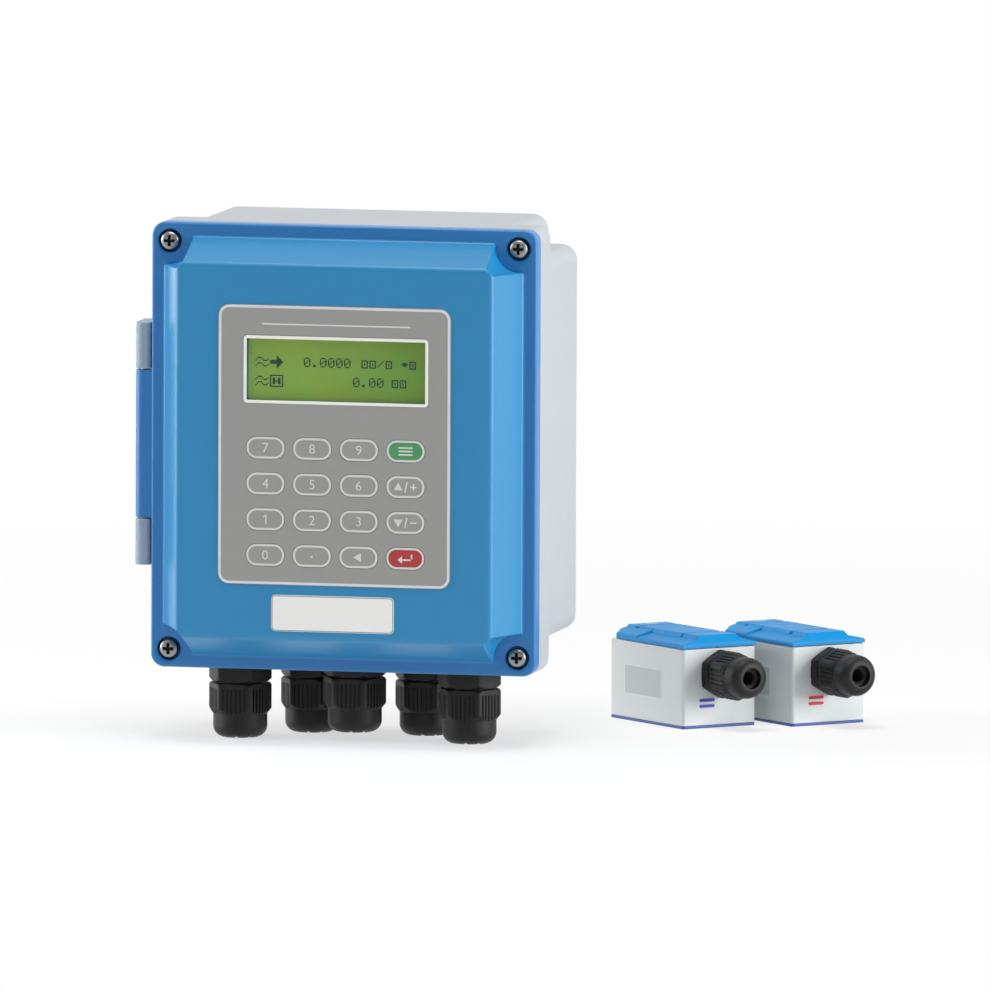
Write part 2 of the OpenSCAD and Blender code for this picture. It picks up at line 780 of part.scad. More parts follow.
// The neck ends half way up the nut's hexagon, where the seal begins
neck_len = nut_gap + nut_hex_h / 2;
function seal_start(g) = gland_hex_h - gland_rise(g) + neck_len + seat_clear;
function seal_end(g) = gland_drop - gland_rise(g) - mouth_h - seat_clear;

module gland_bodies() {
    color("#242424") for (g = [0 : len(gland_rows) - 1])
        at_gland(g) gland_body(gland_af, gland_thread_r, gland_spigot, gland_hex_h - gland_rise(g),
            gland_neck_r, neck_len, gland_bore_r);
}

module gland_locknuts() {
    color("#242424") for (g = [0 : len(gland_rows) - 1])
        at_gland(g) translate([0, 0, -wall - locknut_h]) difference() {
            hexagon(gland_af, locknut_h);
            translate([0, 0, -cut]) cylinder(h = locknut_h + 2 * cut, r = gland_thread_r + nut_clear);
        }
}

module gland_seals() {
    color("#333333") for (g = [0 : len(gland_rows) - 1])
        at_gland(g) gland_seal(gland_neck_r - seat_clear, seal_bore_r, seal_start(g), seal_end(g));
}

module housing_nut(g) {
    color("#242424") at_gland(g)
        translate([0, 0, gland_hex_h + nut_gap - gland_rise(g)])
            gland_nut(gland_af, nut_hex_h, dome_h, dome_waist_r, dome_round, gland_neck_r,
                mouth_r, mouth_h, ribs_per_flat);
}

// Children in a transducer's own frame: X towards its gland, Z up, the sole's face at zero
module at_sensor(s) {
    translate([box_w / 2 + set_side, set_back, z_floor]) rotate([0, 0, sensor_yaw])
        translate([s * sensor_stagger, s * (sensor_w + set_gap), 0]) children();
}

// Children on a transducer's gland axis, with Z pointing out of the case
module at_sensor_gland(s) {
    at_sensor(s) translate([sensor_l / 2, 0, sensor_gland_z]) rotate([0, 90, 0]) children();
}

module sensor_case(s) {
    color("lightgray") at_sensor(s) difference() {
        translate([0, 0, sole_t]) linear_extrude(sensor_h - sole_t)
            polygon(round_rect(sensor_l, sensor_w, sensor_r));
        linear_extrude(sensor_h + cut) polygon(
            round_rect(sensor_l - 2 * sensor_wall, sensor_w - 2 * sensor_wall, sensor_r));
        translate([0, 0, sensor_gland_z]) rotate([0, 90, 0])
            cylinder(h = sensor_l, r = small_thread_r + thread_clear);
        slab(round_rect(plate_l, plate_h, plate_r), -sensor_w / 2 - cut, plate_cut - sensor_w / 2,
            plate_x, plate_z);
    }
}

// Cross section of the cap between two heights of its sloping sides
function cap_section(lift) = [
    [-sensor_w / 2, 0], [sensor_w / 2, 0], [sensor_w / 2, cap_edge + lift],
    [sensor_w / 2 - cap_slope, cap_slope_top + lift], [sensor_w / 2 - cap_slope - cap_step, cap_rise],
    [cap_slope + cap_step - sensor_w / 2, cap_rise], [cap_slope - sensor_w / 2, cap_slope_top + lift],
    [-sensor_w / 2, cap_edge + lift]];

// A groove across the cap's raised middle, at a distance from its plain end
module cap_groove(place, w, depth) {
    block([place - w / 2 - sensor_l / 2, cap_slope - sensor_w / 2, cap_rise - depth],
        [place + w / 2 - sensor_l / 2, sensor_w / 2 - cap_slope, cap_rise + cut]);
}

module sensor_cap(s) {
    color("dodgerblue") at_sensor(s) translate([0, 0, sensor_h]) difference() {
        intersection() {
            union() {
                translate([-sensor_l / 2, 0, 0]) rotate([90, 0, 90])
                    linear_extrude(sensor_l) polygon(cap_section(0));
                translate([-sensor_l / 2, 0, 0]) rotate([90, 0, 90])
                    linear_extrude(cap_saddle_l) polygon(cap_section(cap_saddle));
            }
            linear_extrude(cap_rise + cut) polygon([
                [sensor_l / 2, -sensor_w / 2], [sensor_l / 2, sensor_w / 2],
                [cap_corner - sensor_l / 2, sensor_w / 2], [-sensor_l / 2, sensor_w / 2 - cap_corner],
                [-sensor_l / 2, cap_corner - sensor_w / 2], [cap_corner - sensor_l / 2, -sensor_w / 2]]);
            rotate([90, 0, 0]) linear_extrude(sensor_w + cut, center = true) polygon([
                [-sensor_l / 2, 0], [sensor_l / 2, 0], [sensor_l / 2, cap_edge],
                [sensor_l / 2 - cap_nose, cap_rise], [-sensor_l / 2, cap_rise]]);
        }
        for (place = groove_places)
            cap_groove(place, groove_w, groove_cut);
        for (place = line_places)
            cap_groove(place, line_w, line_cut);
    }
}

module sensor_sole(s) {
    color("darkblue") at_sensor(s) linear_extrude(sole_t)
        polygon(round_rect(sensor_l, sensor_w, sensor_r));
}

// Wedge on the sole, and the crystal on its slope
module sensor_core(s) {
    lean = atan((wedge_high - wedge_low) / wedge_l);
    color("wheat") at_sensor(s) translate([0, 0, sole_t]) {
        rotate([90, 0, 0]) linear_extrude(wedge_w, center = true) polygon([
            [-wedge_l / 2, 0], [wedge_l / 2, 0], [wedge_l / 2, wedge_low], [-wedge_l / 2, wedge_high]]);
        translate([0, 0, (wedge_low + wedge_high) / 2]) rotate([0, lean, 0])
            translate([0, 0, seat_clear]) cylinder(h = crystal_t, r = crystal_r);
    }
}

module sensor_gland(s) {
    neck = small_gap + small_nut_hex_h / 2;
    color("#242424") at_sensor_gland(s) {
        gland_body(small_af, small_thread_r, small_spigot, small_hex_h, small_neck_r, neck, small_bore_r);
        gland_seal(small_neck_r - seat_clear, small_seal_bore_r, small_hex_h + neck + seat_clear,
            small_hex_h + small_gap + small_nut_hex_h + small_dome_h - small_mouth_h - seat_clear);
    }
}

module sensor_nut(s) {
    color("#242424") at_sensor_gland(s) translate([0, 0, small_hex_h + small_gap])
        gland_nut(small_af, small_nut_hex_h, small_dome_h, small_waist_r, small_round, small_neck_r,
            small_mouth_r, small_mouth_h, small_ribs_per_flat);
}

base_housing();
cover_gasket();
hinge_pin();
screw_inserts();
main_board();
board_screws();
terminal_blocks();
transformer();
board_components();
gland_bodies();
gland_locknuts();
gland_seals();
front_cover();
keypad_overlay();
keypad_circuit();
key_domes();
display_window();
lcd_glass();
lcd_bezel();
display_board();
display_screws();
cover_label();
for (k = [0 : len(SCREW_NAMES) - 1])
    cover_screw(k);
for (k = [0 : len(KEY_NAMES) - 1])
    key_cap(k);
for (g = [0 : len(NUT_NAMES) - 1])
    housing_nut(g);
for (s = [0, 1]) {
    sensor_case(s);
    sensor_cap(s);
    sensor_sole(s);
    sensor_core(s);
    sensor_gland(s);
    sensor_nut(s);
}
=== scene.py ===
"""Looks of a clamp-on ultrasonic flow meter: a wall-mounted converter and its two transducers.
Sizes below are in millimetres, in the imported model's frame, and become metres when a mesh is made."""
import json
import math

import bmesh
import bpy
import numpy as np
from mathutils import Matrix, Vector
from mathutils.geometry import delaunay_2d_cdt

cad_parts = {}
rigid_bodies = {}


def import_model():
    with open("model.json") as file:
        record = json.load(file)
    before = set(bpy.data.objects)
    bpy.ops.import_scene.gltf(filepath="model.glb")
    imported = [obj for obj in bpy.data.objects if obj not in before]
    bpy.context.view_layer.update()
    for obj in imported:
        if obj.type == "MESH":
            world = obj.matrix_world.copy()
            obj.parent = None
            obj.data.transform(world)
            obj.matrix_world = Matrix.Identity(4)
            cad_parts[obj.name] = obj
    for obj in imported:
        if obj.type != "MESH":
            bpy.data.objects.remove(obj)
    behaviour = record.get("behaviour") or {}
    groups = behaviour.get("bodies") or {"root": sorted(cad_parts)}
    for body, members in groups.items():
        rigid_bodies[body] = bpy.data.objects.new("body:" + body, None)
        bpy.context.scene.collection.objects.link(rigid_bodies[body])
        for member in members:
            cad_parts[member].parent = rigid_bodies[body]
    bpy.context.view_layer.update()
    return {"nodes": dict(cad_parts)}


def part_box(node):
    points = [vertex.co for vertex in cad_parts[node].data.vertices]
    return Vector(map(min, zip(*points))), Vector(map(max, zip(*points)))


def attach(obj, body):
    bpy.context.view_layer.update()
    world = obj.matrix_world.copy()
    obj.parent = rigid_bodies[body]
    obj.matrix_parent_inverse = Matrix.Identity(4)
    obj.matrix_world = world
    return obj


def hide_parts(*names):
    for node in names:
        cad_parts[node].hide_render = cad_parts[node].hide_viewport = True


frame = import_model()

bl_info = {
    "name": "Flow meter looks",
    "version": (1, 0, 0),
    "blender": (4, 5, 0),
    "location": "View3D > Sidebar > Flow meter",
    "description": "Builds the visible pieces of a wall-mounted flow meter with two transducers",
    "category": "Object",
}

MM = 0.001
RIGHT = math.pi / 2

# Housing and cover, as in the part's source
BOX_W, BOX_H, CORNER_R = 173.0, 196.0, 6.0
Y_RIM, Y_PANEL, Y_COVER_BACK, Y_BASE_FRONT, Y_SHOULDER = -82.5, -102.5, -74.5, -74.1, -54.5
WALL, NOTCH, STEP_R = 4.0, 13.0, 7.0
FOOT_INSET, TOP_INSET = 6.0, 15.7
HOLLOW_FOOT, HOLLOW_TOP = 9.334, 17.58
Y_PANEL_INSIDE, Y_RECESS = -99.5, -100.9
POCKET_R, POCKET_OPEN, HOLLOW_POCKET_R, POCKET_STEPS = 10.3, 2.4, 13.3, 12
LIP_R, SHOULDER_R, CAVITY_R, CROWN_H = 0.5, 1.8, 1.5, 2.4
SCREW_X, SCREW_Z, SHANK_HOLE_R = 78.3, 89.8, 2.2
COUNTERBORE_R, Y_COUNTERBORE, Y_SCREW_CROWN = 5.0, -77.0, -84.0
HINGE_X, HINGE_Y, KNUCKLE_R, BARREL_HALF = -90.7, -78.0, 3.7, 32.5
LUG_LOW, LUG_HIGH, PIN_HOLE_R, WEB_X, WEB_BACK, BARREL_X = 33.0, 53.4, 1.54, -84.5, -62.1, -83.5
BOLT_X, BOLT_Z, BOLT_R, BOLT_DEPTH = 54.0, 63.0, 2.5, 11.0
INSERT_R, INSERT_DEPTH = 3.24, 8.0
BOLT_BOSS_R, Y_BOLT_BOSS, Y_BOARD_BOSS = 6.0, -13.0, -12.0
BOARD_BOSSES, DISPLAY_BOSSES = (4.0, 40.0, 51.0, 0.0, 20.0), (3.5, 51.0, 30.0, 1.2, 33.0)

# Keypad and display
OVERLAY = (0.55, 3.1, 104.3, 123.0, 5.0)
WINDOW = (1.2, 36.2, 83.3, 30.2, 1.6)
LABEL = (0.0, -70.7, 55.0, 16.0, 2.0)
Y_OVERLAY, Y_OVERLAY_BACK, Y_WINDOW, Y_LCD = -102.9, -101.5, -102.8, -98.9
KEY_W, KEY_H, KEY_FLAT = 17.2, 9.7, 0.4
KEYS = ["7", "8", "9", "menu", "4", "5", "6", "up", "1", "2", "3", "down", "0", "point", "left", "enter"]
PRINT_T, TITLE_LINE_Z = 0.03, 56.2
DOT, CELL, PIN_PITCH = 0.6, 0.66, 2.54

# Inside: levels of the display board's header, level of the main board's tall parts, and the coil's middle and half
# its width
HEADER_LEVELS, Y_TALL_PARTS, COIL = (-92.35, -83.45), -24.4, (-20.0, 10.02)

# Glands of the housing, and a transducer's own gland
GLANDS = [(-51.6, -58.5, 0.0), (0.0, -58.5, 3.7), (51.6, -58.5, 0.0), (-25.8, -30.0, 0.0), (25.8, -30.0, 0.0)]
BIG = dict(af=24.8, hex_h=7.5, gap=0.8, nut_h=13.2, dome=10.8, waist=11.9, round=5.0, mouth=6.8,
           mouth_len=3.0, notch=0.4, neck=9.2, thread=10.0, spigot=13.0, bore=6.8, ribs=6)
SMALL = dict(af=19.0, hex_h=4.5, gap=1.5, nut_h=11.5, dome=9.0, waist=9.1, round=4.0, mouth=4.6,
             mouth_len=2.5, notch=0.0, neck=7.3, thread=7.6, spigot=8.0, bore=4.6, ribs=4)
RIB_PITCH, RIB_W, RIB_DEPTH, RIB_SLOPE = 1.95, 0.9, 0.5, 0.14
Z_FLOOR = -130.3

# Transducers, in their own frame: X towards the gland, Z up, the sole's face at zero
SENSOR_L, SENSOR_W, SENSOR_H, SOLE_T, SENSOR_R = 60.0, 38.0, 35.5, 1.3, 1.5
SENSOR_PLACE, SENSOR_YAW, SENSOR_STEP = (123.0, 52.0), math.radians(-45.0), (14.8, 47.6)
SENSOR_GLAND_Z = 23.8
CAP_EDGE, CAP_SHOULDER, CAP_RISE, CAP_SLOPE, CAP_STEP = 1.8, 3.6, 5.4, 8.2, 1.1
SADDLE_RISE, SADDLE_L, CAP_CORNER, NOSE = 0.8, 21.5, 5.0, 2.6
GROOVES = [(9.0, 2.2, 1.7), (45.4, 2.2, 1.7), (14.5, 0.8, 0.5), (21.4, 0.8, 0.5)]
PLATE, MARK_LEVELS = (31.0, 14.2, 1.5, -3.0, 18.3), (12.4, 9.8)

# Camera: azimuth, elevation and roll in degrees. Lamps: name, place, aim and width in metres, power in watts
CAMERA_TURNS, CAMERA_DISTANCE = (12.75, 5.77, 0.23), 14.0
CAMERA_AIM, LENS_PER_METRE = (68.1, -82.5, -18.38), 83.167
LAMPS = (("front", (-0.8, -1.7, 1.9), (0.05, 0.0, 0.0), 1.2, 3.6),
         ("left", (-2.0, -0.29, 0.35), (0.0, -0.05, 0.0), 1.1, 34.0),
         ("right", (2.1, -0.33, 0.3), (0.0, -0.05, 0.0), 1.1, 42.0),
         ("above", (0.1, -0.38, 1.9), (0.0, -0.08, 0.0), 1.1, 25.0),
         ("rear", (-1.35, 1.5, 0.2), (-0.05, -0.08, 0.0), 1.1, 12.0))


def paint(red, green, blue):
    """A screen colour, 0 to 255 a channel, as Blender's linear colour."""
    screen = np.array([red, green, blue]) / 255
    linear = np.where(screen <= 0.04045, screen / 12.92, ((screen + 0.055) / 1.055) ** 2.4)
    return tuple(float(c) for c in linear)


# ---- Outlines and surfaces

def arc(cx, cz, radius, start, end, steps=8):
    """Points of a circle's arc: centre plus radius times cosine and sine of evenly spaced angles."""
    turn = np.radians(np.linspace(start, end, steps + 1))
    return np.stack([cx + radius * np.cos(turn), cz + radius * np.sin(turn)], 1)


def four_corners(corner):
    """A whole outline from its top right corner, mirrored into the other three, counterclockwise."""
    back = corner[::-1]
    return np.concatenate([corner, back * [-1, 1], corner * [-1, -1], back * [1, -1]])


def round_rect(w, h, r, x=0.0, z=0.0, steps=8):
    """A rectangle with round corners: one quarter circle, mirrored four ways."""
    return four_corners(arc(w / 2 - r, h / 2 - r, r, 0, 90, steps)) + [x, z]


def circle(x, z, r, steps=32):
    """A closed ring of points at one radius."""
    return arc(x, z, r, 0, 360 - 360 / steps, steps - 1)


def stepped(w, h, n, r, steps=8):
    """A rectangle whose corners step in by a square: two quarter circles with the step's inner corner between."""
    return four_corners(np.concatenate([
        arc(w / 2 - r, h / 2 - n - r, r, 0, 90, steps), [[w / 2 - n, h / 2 - n]],
        arc(w / 2 - n - r, h / 2 - r, r, 0, 90, steps)]))


def matched(w, h, n, r, corner_r, steps=8):
    """A round rectangle with as many points as the stepped one, so that a surface can join them."""
    return four_corners(np.concatenate([
        [[w / 2, h / 2 - n - r]], arc(w / 2 - corner_r, h / 2 - corner_r, corner_r, 0, 90, 2 * steps),
        [[w / 2 - n - r, h / 2]]]))


def rounded(points, radii, steps=5):
    """A closed polygon with its corners rounded: each corner becomes the arc that touches both of its sides."""
    points = np.array(points, float)
    out = []
    for at, radius in enumerate(np.broadcast_to(radii, len(points))):
        here = points[at]
        a, b = points[at - 1] - here, points[(at + 1) % len(points)] - here
        a, b = a / np.linalg.norm(a), b / np.linalg.norm(b)
        half = math.acos(np.clip(a @ b, -1, 1)) / 2
        if radius <= 0 or half > 1.55:
            out.append(here[None])
            continue
        centre = here + (a + b) / np.linalg.norm(a + b) * radius / math.sin(half)
        first, last = here + a * radius / math.tan(half), here + b * radius / math.tan(half)
        sweep = math.pi - 2 * half
        t = np.linspace(0, 1, steps + 1)[:, None]
        out.append(centre + (np.sin((1 - t) * sweep) * (first - centre)
                             + np.sin(t * sweep) * (last - centre)) / math.sin(sweep))
    return np.concatenate(out)


def inset(loop, depth):
    """A counterclockwise outline moved inwards: each point slides along the line that halves its corner."""
    if depth == 0:
        return loop
    edge = np.roll(loop, -1, 0) - loop
    edge = edge / np.linalg.norm(edge, axis=1)[:, None]
    normal = np.stack([-edge[:, 1], edge[:, 0]], 1)
    before = np.roll(normal, 1, 0)
    share = 1 + (normal * before).sum(1)
    return loop + depth * (normal + before) / share[:, None]


def pocketed(inward, pocket, ease):
    """Outline of the raised panel at one inset: a rectangle cut by a circle round each screw, with a small arc
    where side and circle meet. The arc's centre lies one radius inside the side and outside the circle."""
    side, top = BOX_W / 2 - inward - ease, BOX_H / 2 - inward - ease
    reach = pocket + ease
    across = math.sqrt(max(reach ** 2 - (top - SCREW_Z) ** 2, 0))
    up = math.sqrt(max(reach ** 2 - (side - SCREW_X) ** 2, 0))
    first, last = np.array([side, SCREW_Z - up]), np.array([SCREW_X - across, top])
    if last[0] >= side or first[1] >= top:
        first = last = np.array([side, top])
        turn_first = turn_last = 45.0
        middle = np.repeat(first[None] + ease * math.sqrt(0.5), POCKET_STEPS - 1, 0)
    else:
        turn_first, turn_last = (math.degrees(math.atan2(SCREW_Z - z, SCREW_X - x)) for x, z in (first, last))
        middle = arc(SCREW_X, SCREW_Z, pocket, turn_first + 180, turn_last + 180, POCKET_STEPS)[1:-1]
    return four_corners(np.concatenate([arc(*first, ease, 0, turn_first, 4), middle,
                                        arc(*last, ease, turn_last, 90, 4)]))


def soften(points, cuts, steps=4):
    """An open profile with its inner corners rounded, each by the curve that runs between the cuts on both sides."""
    points = np.array(points, float)
    t = np.linspace(0, 1, steps + 1)[:, None]
    out = [points[:1]]
    for at, cut in enumerate(cuts, 1):
        here = points[at]
        a, b = points[at - 1] - here, points[at + 1] - here
        first, last = here + a / np.linalg.norm(a) * cut, here + b / np.linalg.norm(b) * cut
        out.append((1 - t) ** 2 * first + 2 * t * (1 - t) * here + t ** 2 * last)
    return np.concatenate([*out, points[-1:]])


def eased(loop, low, high, ease_low, ease_high, steps=4):
    """Levels of a straight wall whose edges are rounded: the inset falls as one minus the sine of an angle
    while the depth grows as one minus its cosine."""
    def edge(ease, level, side):
        if not ease:
            return [(loop, level)]
        return [(inset(loop, ease * (1 - math.sin(a))), level + side * ease * (1 - math.cos(a)))
                for a in np.linspace(0, RIGHT, steps + 1)]

    return edge(ease_low, low, 1) + edge(ease_high, high, -1)[::-1]


def inside(points, loop):
    """Which points lie in a closed outline: those with an odd number of its edges to their right."""
    a, b = loop, np.roll(loop, -1, 0)
    x, y = points[:, 0, None], points[:, 1, None]
    spans = (a[None, :, 1] > y) != (b[None, :, 1] > y)
    with np.errstate(divide="ignore", invalid="ignore"):
        cross = (b[None, :, 0] - a[None, :, 0]) * (y - a[None, :, 1]) / (b[None, :, 1] - a[None, :, 1]) + a[None, :, 0]
    return (spans & (x < cross)).sum(1) % 2 == 1


def lift(loop, level, axis):
    """An outline at one level along an axis."""
    return np.insert(np.asarray(loop, float), "xyz".index(axis), level, 1)


class Shape:
    """Points and faces of one piece, gathered from grids, flat caps and whole solids, and moved by a rule of the
    shape's own. Each method gives the shape back, so that one call can follow another."""

    def __init__(self, place=None):
        self.points, self.faces, self.count = [], [], 0
        self.place = place or (lambda p: p)

    def add(self, points, faces):
        """Adds points and faces, put in place by this shape's own rule."""
        self.points.append(self.place(np.asarray(points, float)))
        self.faces.extend((np.asarray(faces) + self.count).tolist())
        self.count += len(points)
        return self

    def grid(self, points, wrap_u=True, wrap_v=False):
        """Four-sided faces between neighbours of a grid of points; a wrapped direction joins its last to its first."""
        rows, cols = points.shape[:2]
        i = np.arange(rows if wrap_v else rows - 1)[:, None]
        j = np.arange(cols if wrap_u else cols - 1)[None]
        ends = [(i, j), (i, (j + 1) % cols), ((i + 1) % rows, (j + 1) % cols), ((i + 1) % rows, j)]
        faces = np.stack([a * cols + b for a, b in ends], -1).reshape(-1, 4)
        return self.add(points.reshape(-1, 3), faces)

    def walls(self, levels, axis="y"):
        """The surface through a list of outlines with their levels."""
        return self.grid(np.stack([lift(loop, level, axis) for loop, level in levels]))

    def cap(self, loop, level, axis="y", holes=()):
        """The flat face inside an outline and outside its holes, as a Delaunay triangulation."""
        loops = [np.asarray(l, float) for l in (loop, *holes)]
        loops = [l[np.linalg.norm(l - np.roll(l, 1, 0), axis=1) > 1e-6] for l in loops]
        edges, start = [], 0
        for l in loops:
            at = np.arange(len(l))
            edges += (np.stack([at, (at + 1) % len(l)], 1) + start).tolist()
            start += len(l)
        points, _, faces, *_ = delaunay_2d_cdt([Vector(p) for p in np.concatenate(loops)], edges, [], 1, 1e-7)
        points = np.array([tuple(p) for p in points])
        faces = np.array([f for f in faces if len(f) == 3])
        middle = points[faces].mean(1)
        keep = inside(middle, loops[0])
        for hole in loops[1:]:
            keep &= ~inside(middle, hole)
        return self.add(lift(points, level, axis), faces[keep])

    def well(self, loop, mouth, floor, holes=()):
        """A straight wall from its mouth to a flat floor."""
        return self.walls([(loop, mouth), (loop, floor)]).cap(loop, floor, holes=holes)

    def solid(self, loop, low, high, ease_low=0.0, ease_high=0.0, axis="y", holes=()):
        """A closed prism with rounded edges, and with straight holes through it."""
        levels = eased(loop, low, high, ease_low, ease_high)
        self.walls(levels, axis)
        self.cap(levels[0][0], low, axis, holes)
        self.cap(levels[-1][0], high, axis, holes)
        for hole in holes:
            self.walls([(hole, low), (hole, high)], axis)
        return self

    def ink(self, loop, front, holes=()):
        """A thin flat print with a free outline, on a face towards the viewer."""
        return self.solid(np.asarray(loop, float), front - PRINT_T, front + PRINT_T, holes=holes)


def piece(name, shape, body, look, slot=None, replaces=(), smooth=32.0, weld=1e-6):
    """Makes a shape's mesh, closes it, points its faces outwards, gives it its look and lets it ride on its body.
    The slot argument is not used."""
    mesh = bpy.data.meshes.new(name)
    mesh.from_pydata((np.concatenate(shape.points) * MM).tolist(), [], shape.faces)
    work = bmesh.new()
    work.from_mesh(mesh)
    bmesh.ops.remove_doubles(work, verts=work.verts, dist=weld)
    bmesh.ops.dissolve_degenerate(work, edges=work.edges, dist=weld / 10)
    bmesh.ops.recalc_face_normals(work, faces=work.faces)
    work.to_mesh(mesh)
    work.free()
    mesh.shade_smooth()
    mesh.set_sharp_from_angle(angle=math.radians(smooth))
    mesh.materials.append(FINISHES[look])
    made = bpy.data.objects.new(name, mesh)
    bpy.context.scene.collection.objects.link(made)
    weighted = made.modifiers.new("Flat faces stay flat", "WEIGHTED_NORMAL")
    weighted.keep_sharp = True
    weighted.weight = 80
    slot = slot or look
    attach(made, body)
    if replaces:
        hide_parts(*replaces)


def wear(looks):
    """Gives CAD nodes that stay in view their finishes."""
    for node, look in looks.items():
        slots = frame["nodes"][node].data.materials
        slots.clear()
        slots.append(FINISHES[look])


# ---- Materials

FINISHES = {}


class Sock:
    """One socket of a material, on which Python's operators add Math nodes."""

    def __init__(self, tree, socket):
        self.tree, self.socket = tree, socket

    def math(self, operation, *others):
        return self.tree.add("Math", {"operation": operation}, {0: self, **dict(enumerate(others, 1))})

    def __add__(self, other): return self.math("ADD", other)
    def __sub__(self, other): return self.math("SUBTRACT", other)
    def __mul__(self, other): return self.math("MULTIPLY", other)
    def __pow__(self, other): return self.math("POWER", other)
    def __rsub__(self, other): return self.tree.add("Math", {"operation": "SUBTRACT"}, {0: other, 1: self})
    __radd__ = __add__

    def over(self, edge, width=0.0):
        """One where the value is past the edge and zero before it, with a ramp of that width between."""
        if not width:
            return self.math("GREATER_THAN", edge)
        return self.tree.add("MapRange", {"clamp": True}, {
            "Value": self, "From Min": edge - width / 2, "From Max": edge + width / 2})

    def wave(self, pitch):
        """The sine of the value, in which one wave takes up the pitch."""
        return (self * (2 * math.pi / pitch)).math("SINE")


class Tree:
    """A material's nodes. add() makes any node from its type, its settings and its sockets' values or links."""

    def __init__(self, name, world=None):
        self.name, self.material = name, world or bpy.data.materials.new(name)
        self.material.use_nodes = True
        self.nodes, self.links = self.material.node_tree.nodes, self.material.node_tree.links
        self.nodes.clear()
        self.ending = "ShaderNodeOutputWorld" if world else "ShaderNodeOutputMaterial"
        self.place = self.add("TexCoord", out="Object")

    def add(self, kind, settings=None, sockets=None, out=0):
        node = self.nodes.new("ShaderNode" + kind)
        for key, value in (settings or {}).items():
            setattr(node, key, value)
        for key, value in (sockets or {}).items():
            socket = node.inputs[key]
            if isinstance(value, Sock):
                self.links.new(value.socket, socket)
            elif isinstance(value, tuple) and socket.type == "RGBA" and len(value) == 3:
                socket.default_value = (*value, 1.0)
            else:
                socket.default_value = value
        return Sock(self, node.outputs[out])

    def noise(self, size, detail=2.0, rough=0.5, stretch=None):
        """Noise from zero to one whose patches are about that many millimetres across."""
        place = self.add("Mapping", None, {"Vector": self.place, "Scale": stretch}) if stretch else self.place
        return self.add("TexNoise", None, {"Vector": place, "Scale": 1 / (size * MM), "Detail": detail,
                                           "Roughness": rough})

    def blend(self, share, first, second):
        """The first colour at share zero and the second at share one."""
        return self.add("Mix", {"data_type": "RGBA"}, {0: share, 6: first, 7: second}, out=2)

    def tint(self, colour, factors):
        """A colour multiplied channel by channel."""
        return self.add("VectorMath", {"operation": "MULTIPLY"}, {0: colour, 1: factors}, out="Vector")

    def bump(self, height, depth, **sockets):
        """A normal that follows a height from zero to one, over that many millimetres."""
        return self.add("Bump", None, {"Height": height, "Distance": depth * MM, "Strength": 1.0, **sockets})

    def outputs(self, first, names):
        """Several outputs of the node that the first socket belongs to."""
        return [Sock(self, first.socket.node.outputs[name]) for name in names]

    def split(self):
        """The object coordinates, in millimetres, as three values."""
        return [part * (1 / MM) for part in self.outputs(self.add("SeparateXYZ", None, {0: self.place}), range(3))]

    def rays(self):
        """Whether a ray is the camera's own, straight or through something clear, and whether it is a reflection."""
        seen, mirrored, through = self.outputs(
            self.add("LightPath"), ("Is Camera Ray", "Is Glossy Ray", "Is Transmission Ray"))
        return seen.math("MAXIMUM", through), mirrored

    def finish(self, **sockets):
        """Ends the material in one shader with these sockets, and keeps it under its name."""
        self.end(self.add("BsdfPrincipled", None, {k.replace("_", " "): v for k, v in sockets.items()}))
        FINISHES[self.name] = self.material

    def end(self, shader):
        """Links a shader to the material's or the world's output."""
        self.links.new(shader.socket, self.nodes.new(self.ending).inputs[0])


def shade(colour, factor):
    """A colour made lighter or darker."""
    return tuple(min(c * factor, 1.0) for c in colour)


def moulded(name, colour, rough, grain=0.5, depth=0.01, mottle=0.04, scuff=0.12, coat=0.0, warm=1.0, rim=None):
    """Injection moulded plastic: slow drift of tone, moulded grain, and sheen that varies where it was handled. A rim
    is a level along Y, behind which the colour is multiplied by the tint that follows: painted shade, a deeper and
    bluer tone for the dimmer light on the cover's rim, its sides and the hinge barrel."""
    tree = Tree(name)
    drift, haze = tree.noise(60, 3), tree.noise(14, 4, 0.6)
    fine, specks = tree.noise(grain, 2), tree.noise(grain * 3, 5, 0.7)
    tone = tree.blend(drift * 0.7 + specks * 0.3, shade(colour, 1 - mottle), shade(colour, 1 + mottle))
    # painted shade: behind the rim's level the colour is tinted darker and bluer for the dimmer light there
    if rim:
        _, y, _ = tree.split()
        tone = tree.blend(y.over(rim[0], 0.6), tone, tuple(c * t for c, t in zip(colour, rim[1])))
    tree.finish(Base_Color=tone, Roughness=haze * scuff + (rough - scuff / 2), Coat_Weight=coat, Coat_Roughness=0.42,
                Normal=tree.bump(fine, depth, Normal=tree.bump(tree.noise(22, 1), 0.05)),
                Specular_IOR_Level=0.5 * warm)


def metal(name, colour, rough, stretch=(1.0, 1.0, 14.0), painted_recess_shade=None):
    """Metal with fine drawn lines and patches where the surface has dulled. A painted recess shade is a level along Y
    behind which the metal is nearly black: painted shade in the cross and at the foot of a screw."""
    tree = Tree(name)
    dull = tree.noise(5, 4, 0.6)
    lines = tree.noise(0.9, 2, 0.6, stretch=stretch)
    tone = tree.blend(dull, shade(colour, 0.75), colour)
    if painted_recess_shade:
        # painted shade: behind the level, in the screw's cross and at its foot, the metal is nearly black
        _, y, _ = tree.split()
        tone = tree.blend(y.over(painted_recess_shade, 0.35), tone, shade(colour, 0.06))
    tree.finish(Base_Color=tone, Metallic=1.0, Roughness=dull * 0.18 + lines * 0.1 + (rough - 0.12),
                Normal=tree.bump(lines, 0.004))


def rubber(name, colour):
    """Rubber: dusty, with a fine open grain."""
    tree = Tree(name)
    dust = tree.noise(3, 5, 0.7)
    tree.finish(Base_Color=tree.blend(dust, colour, shade(colour, 1.7)), Roughness=dust * 0.15 + 0.67,
                Normal=tree.bump(tree.noise(0.25, 3), 0.02))


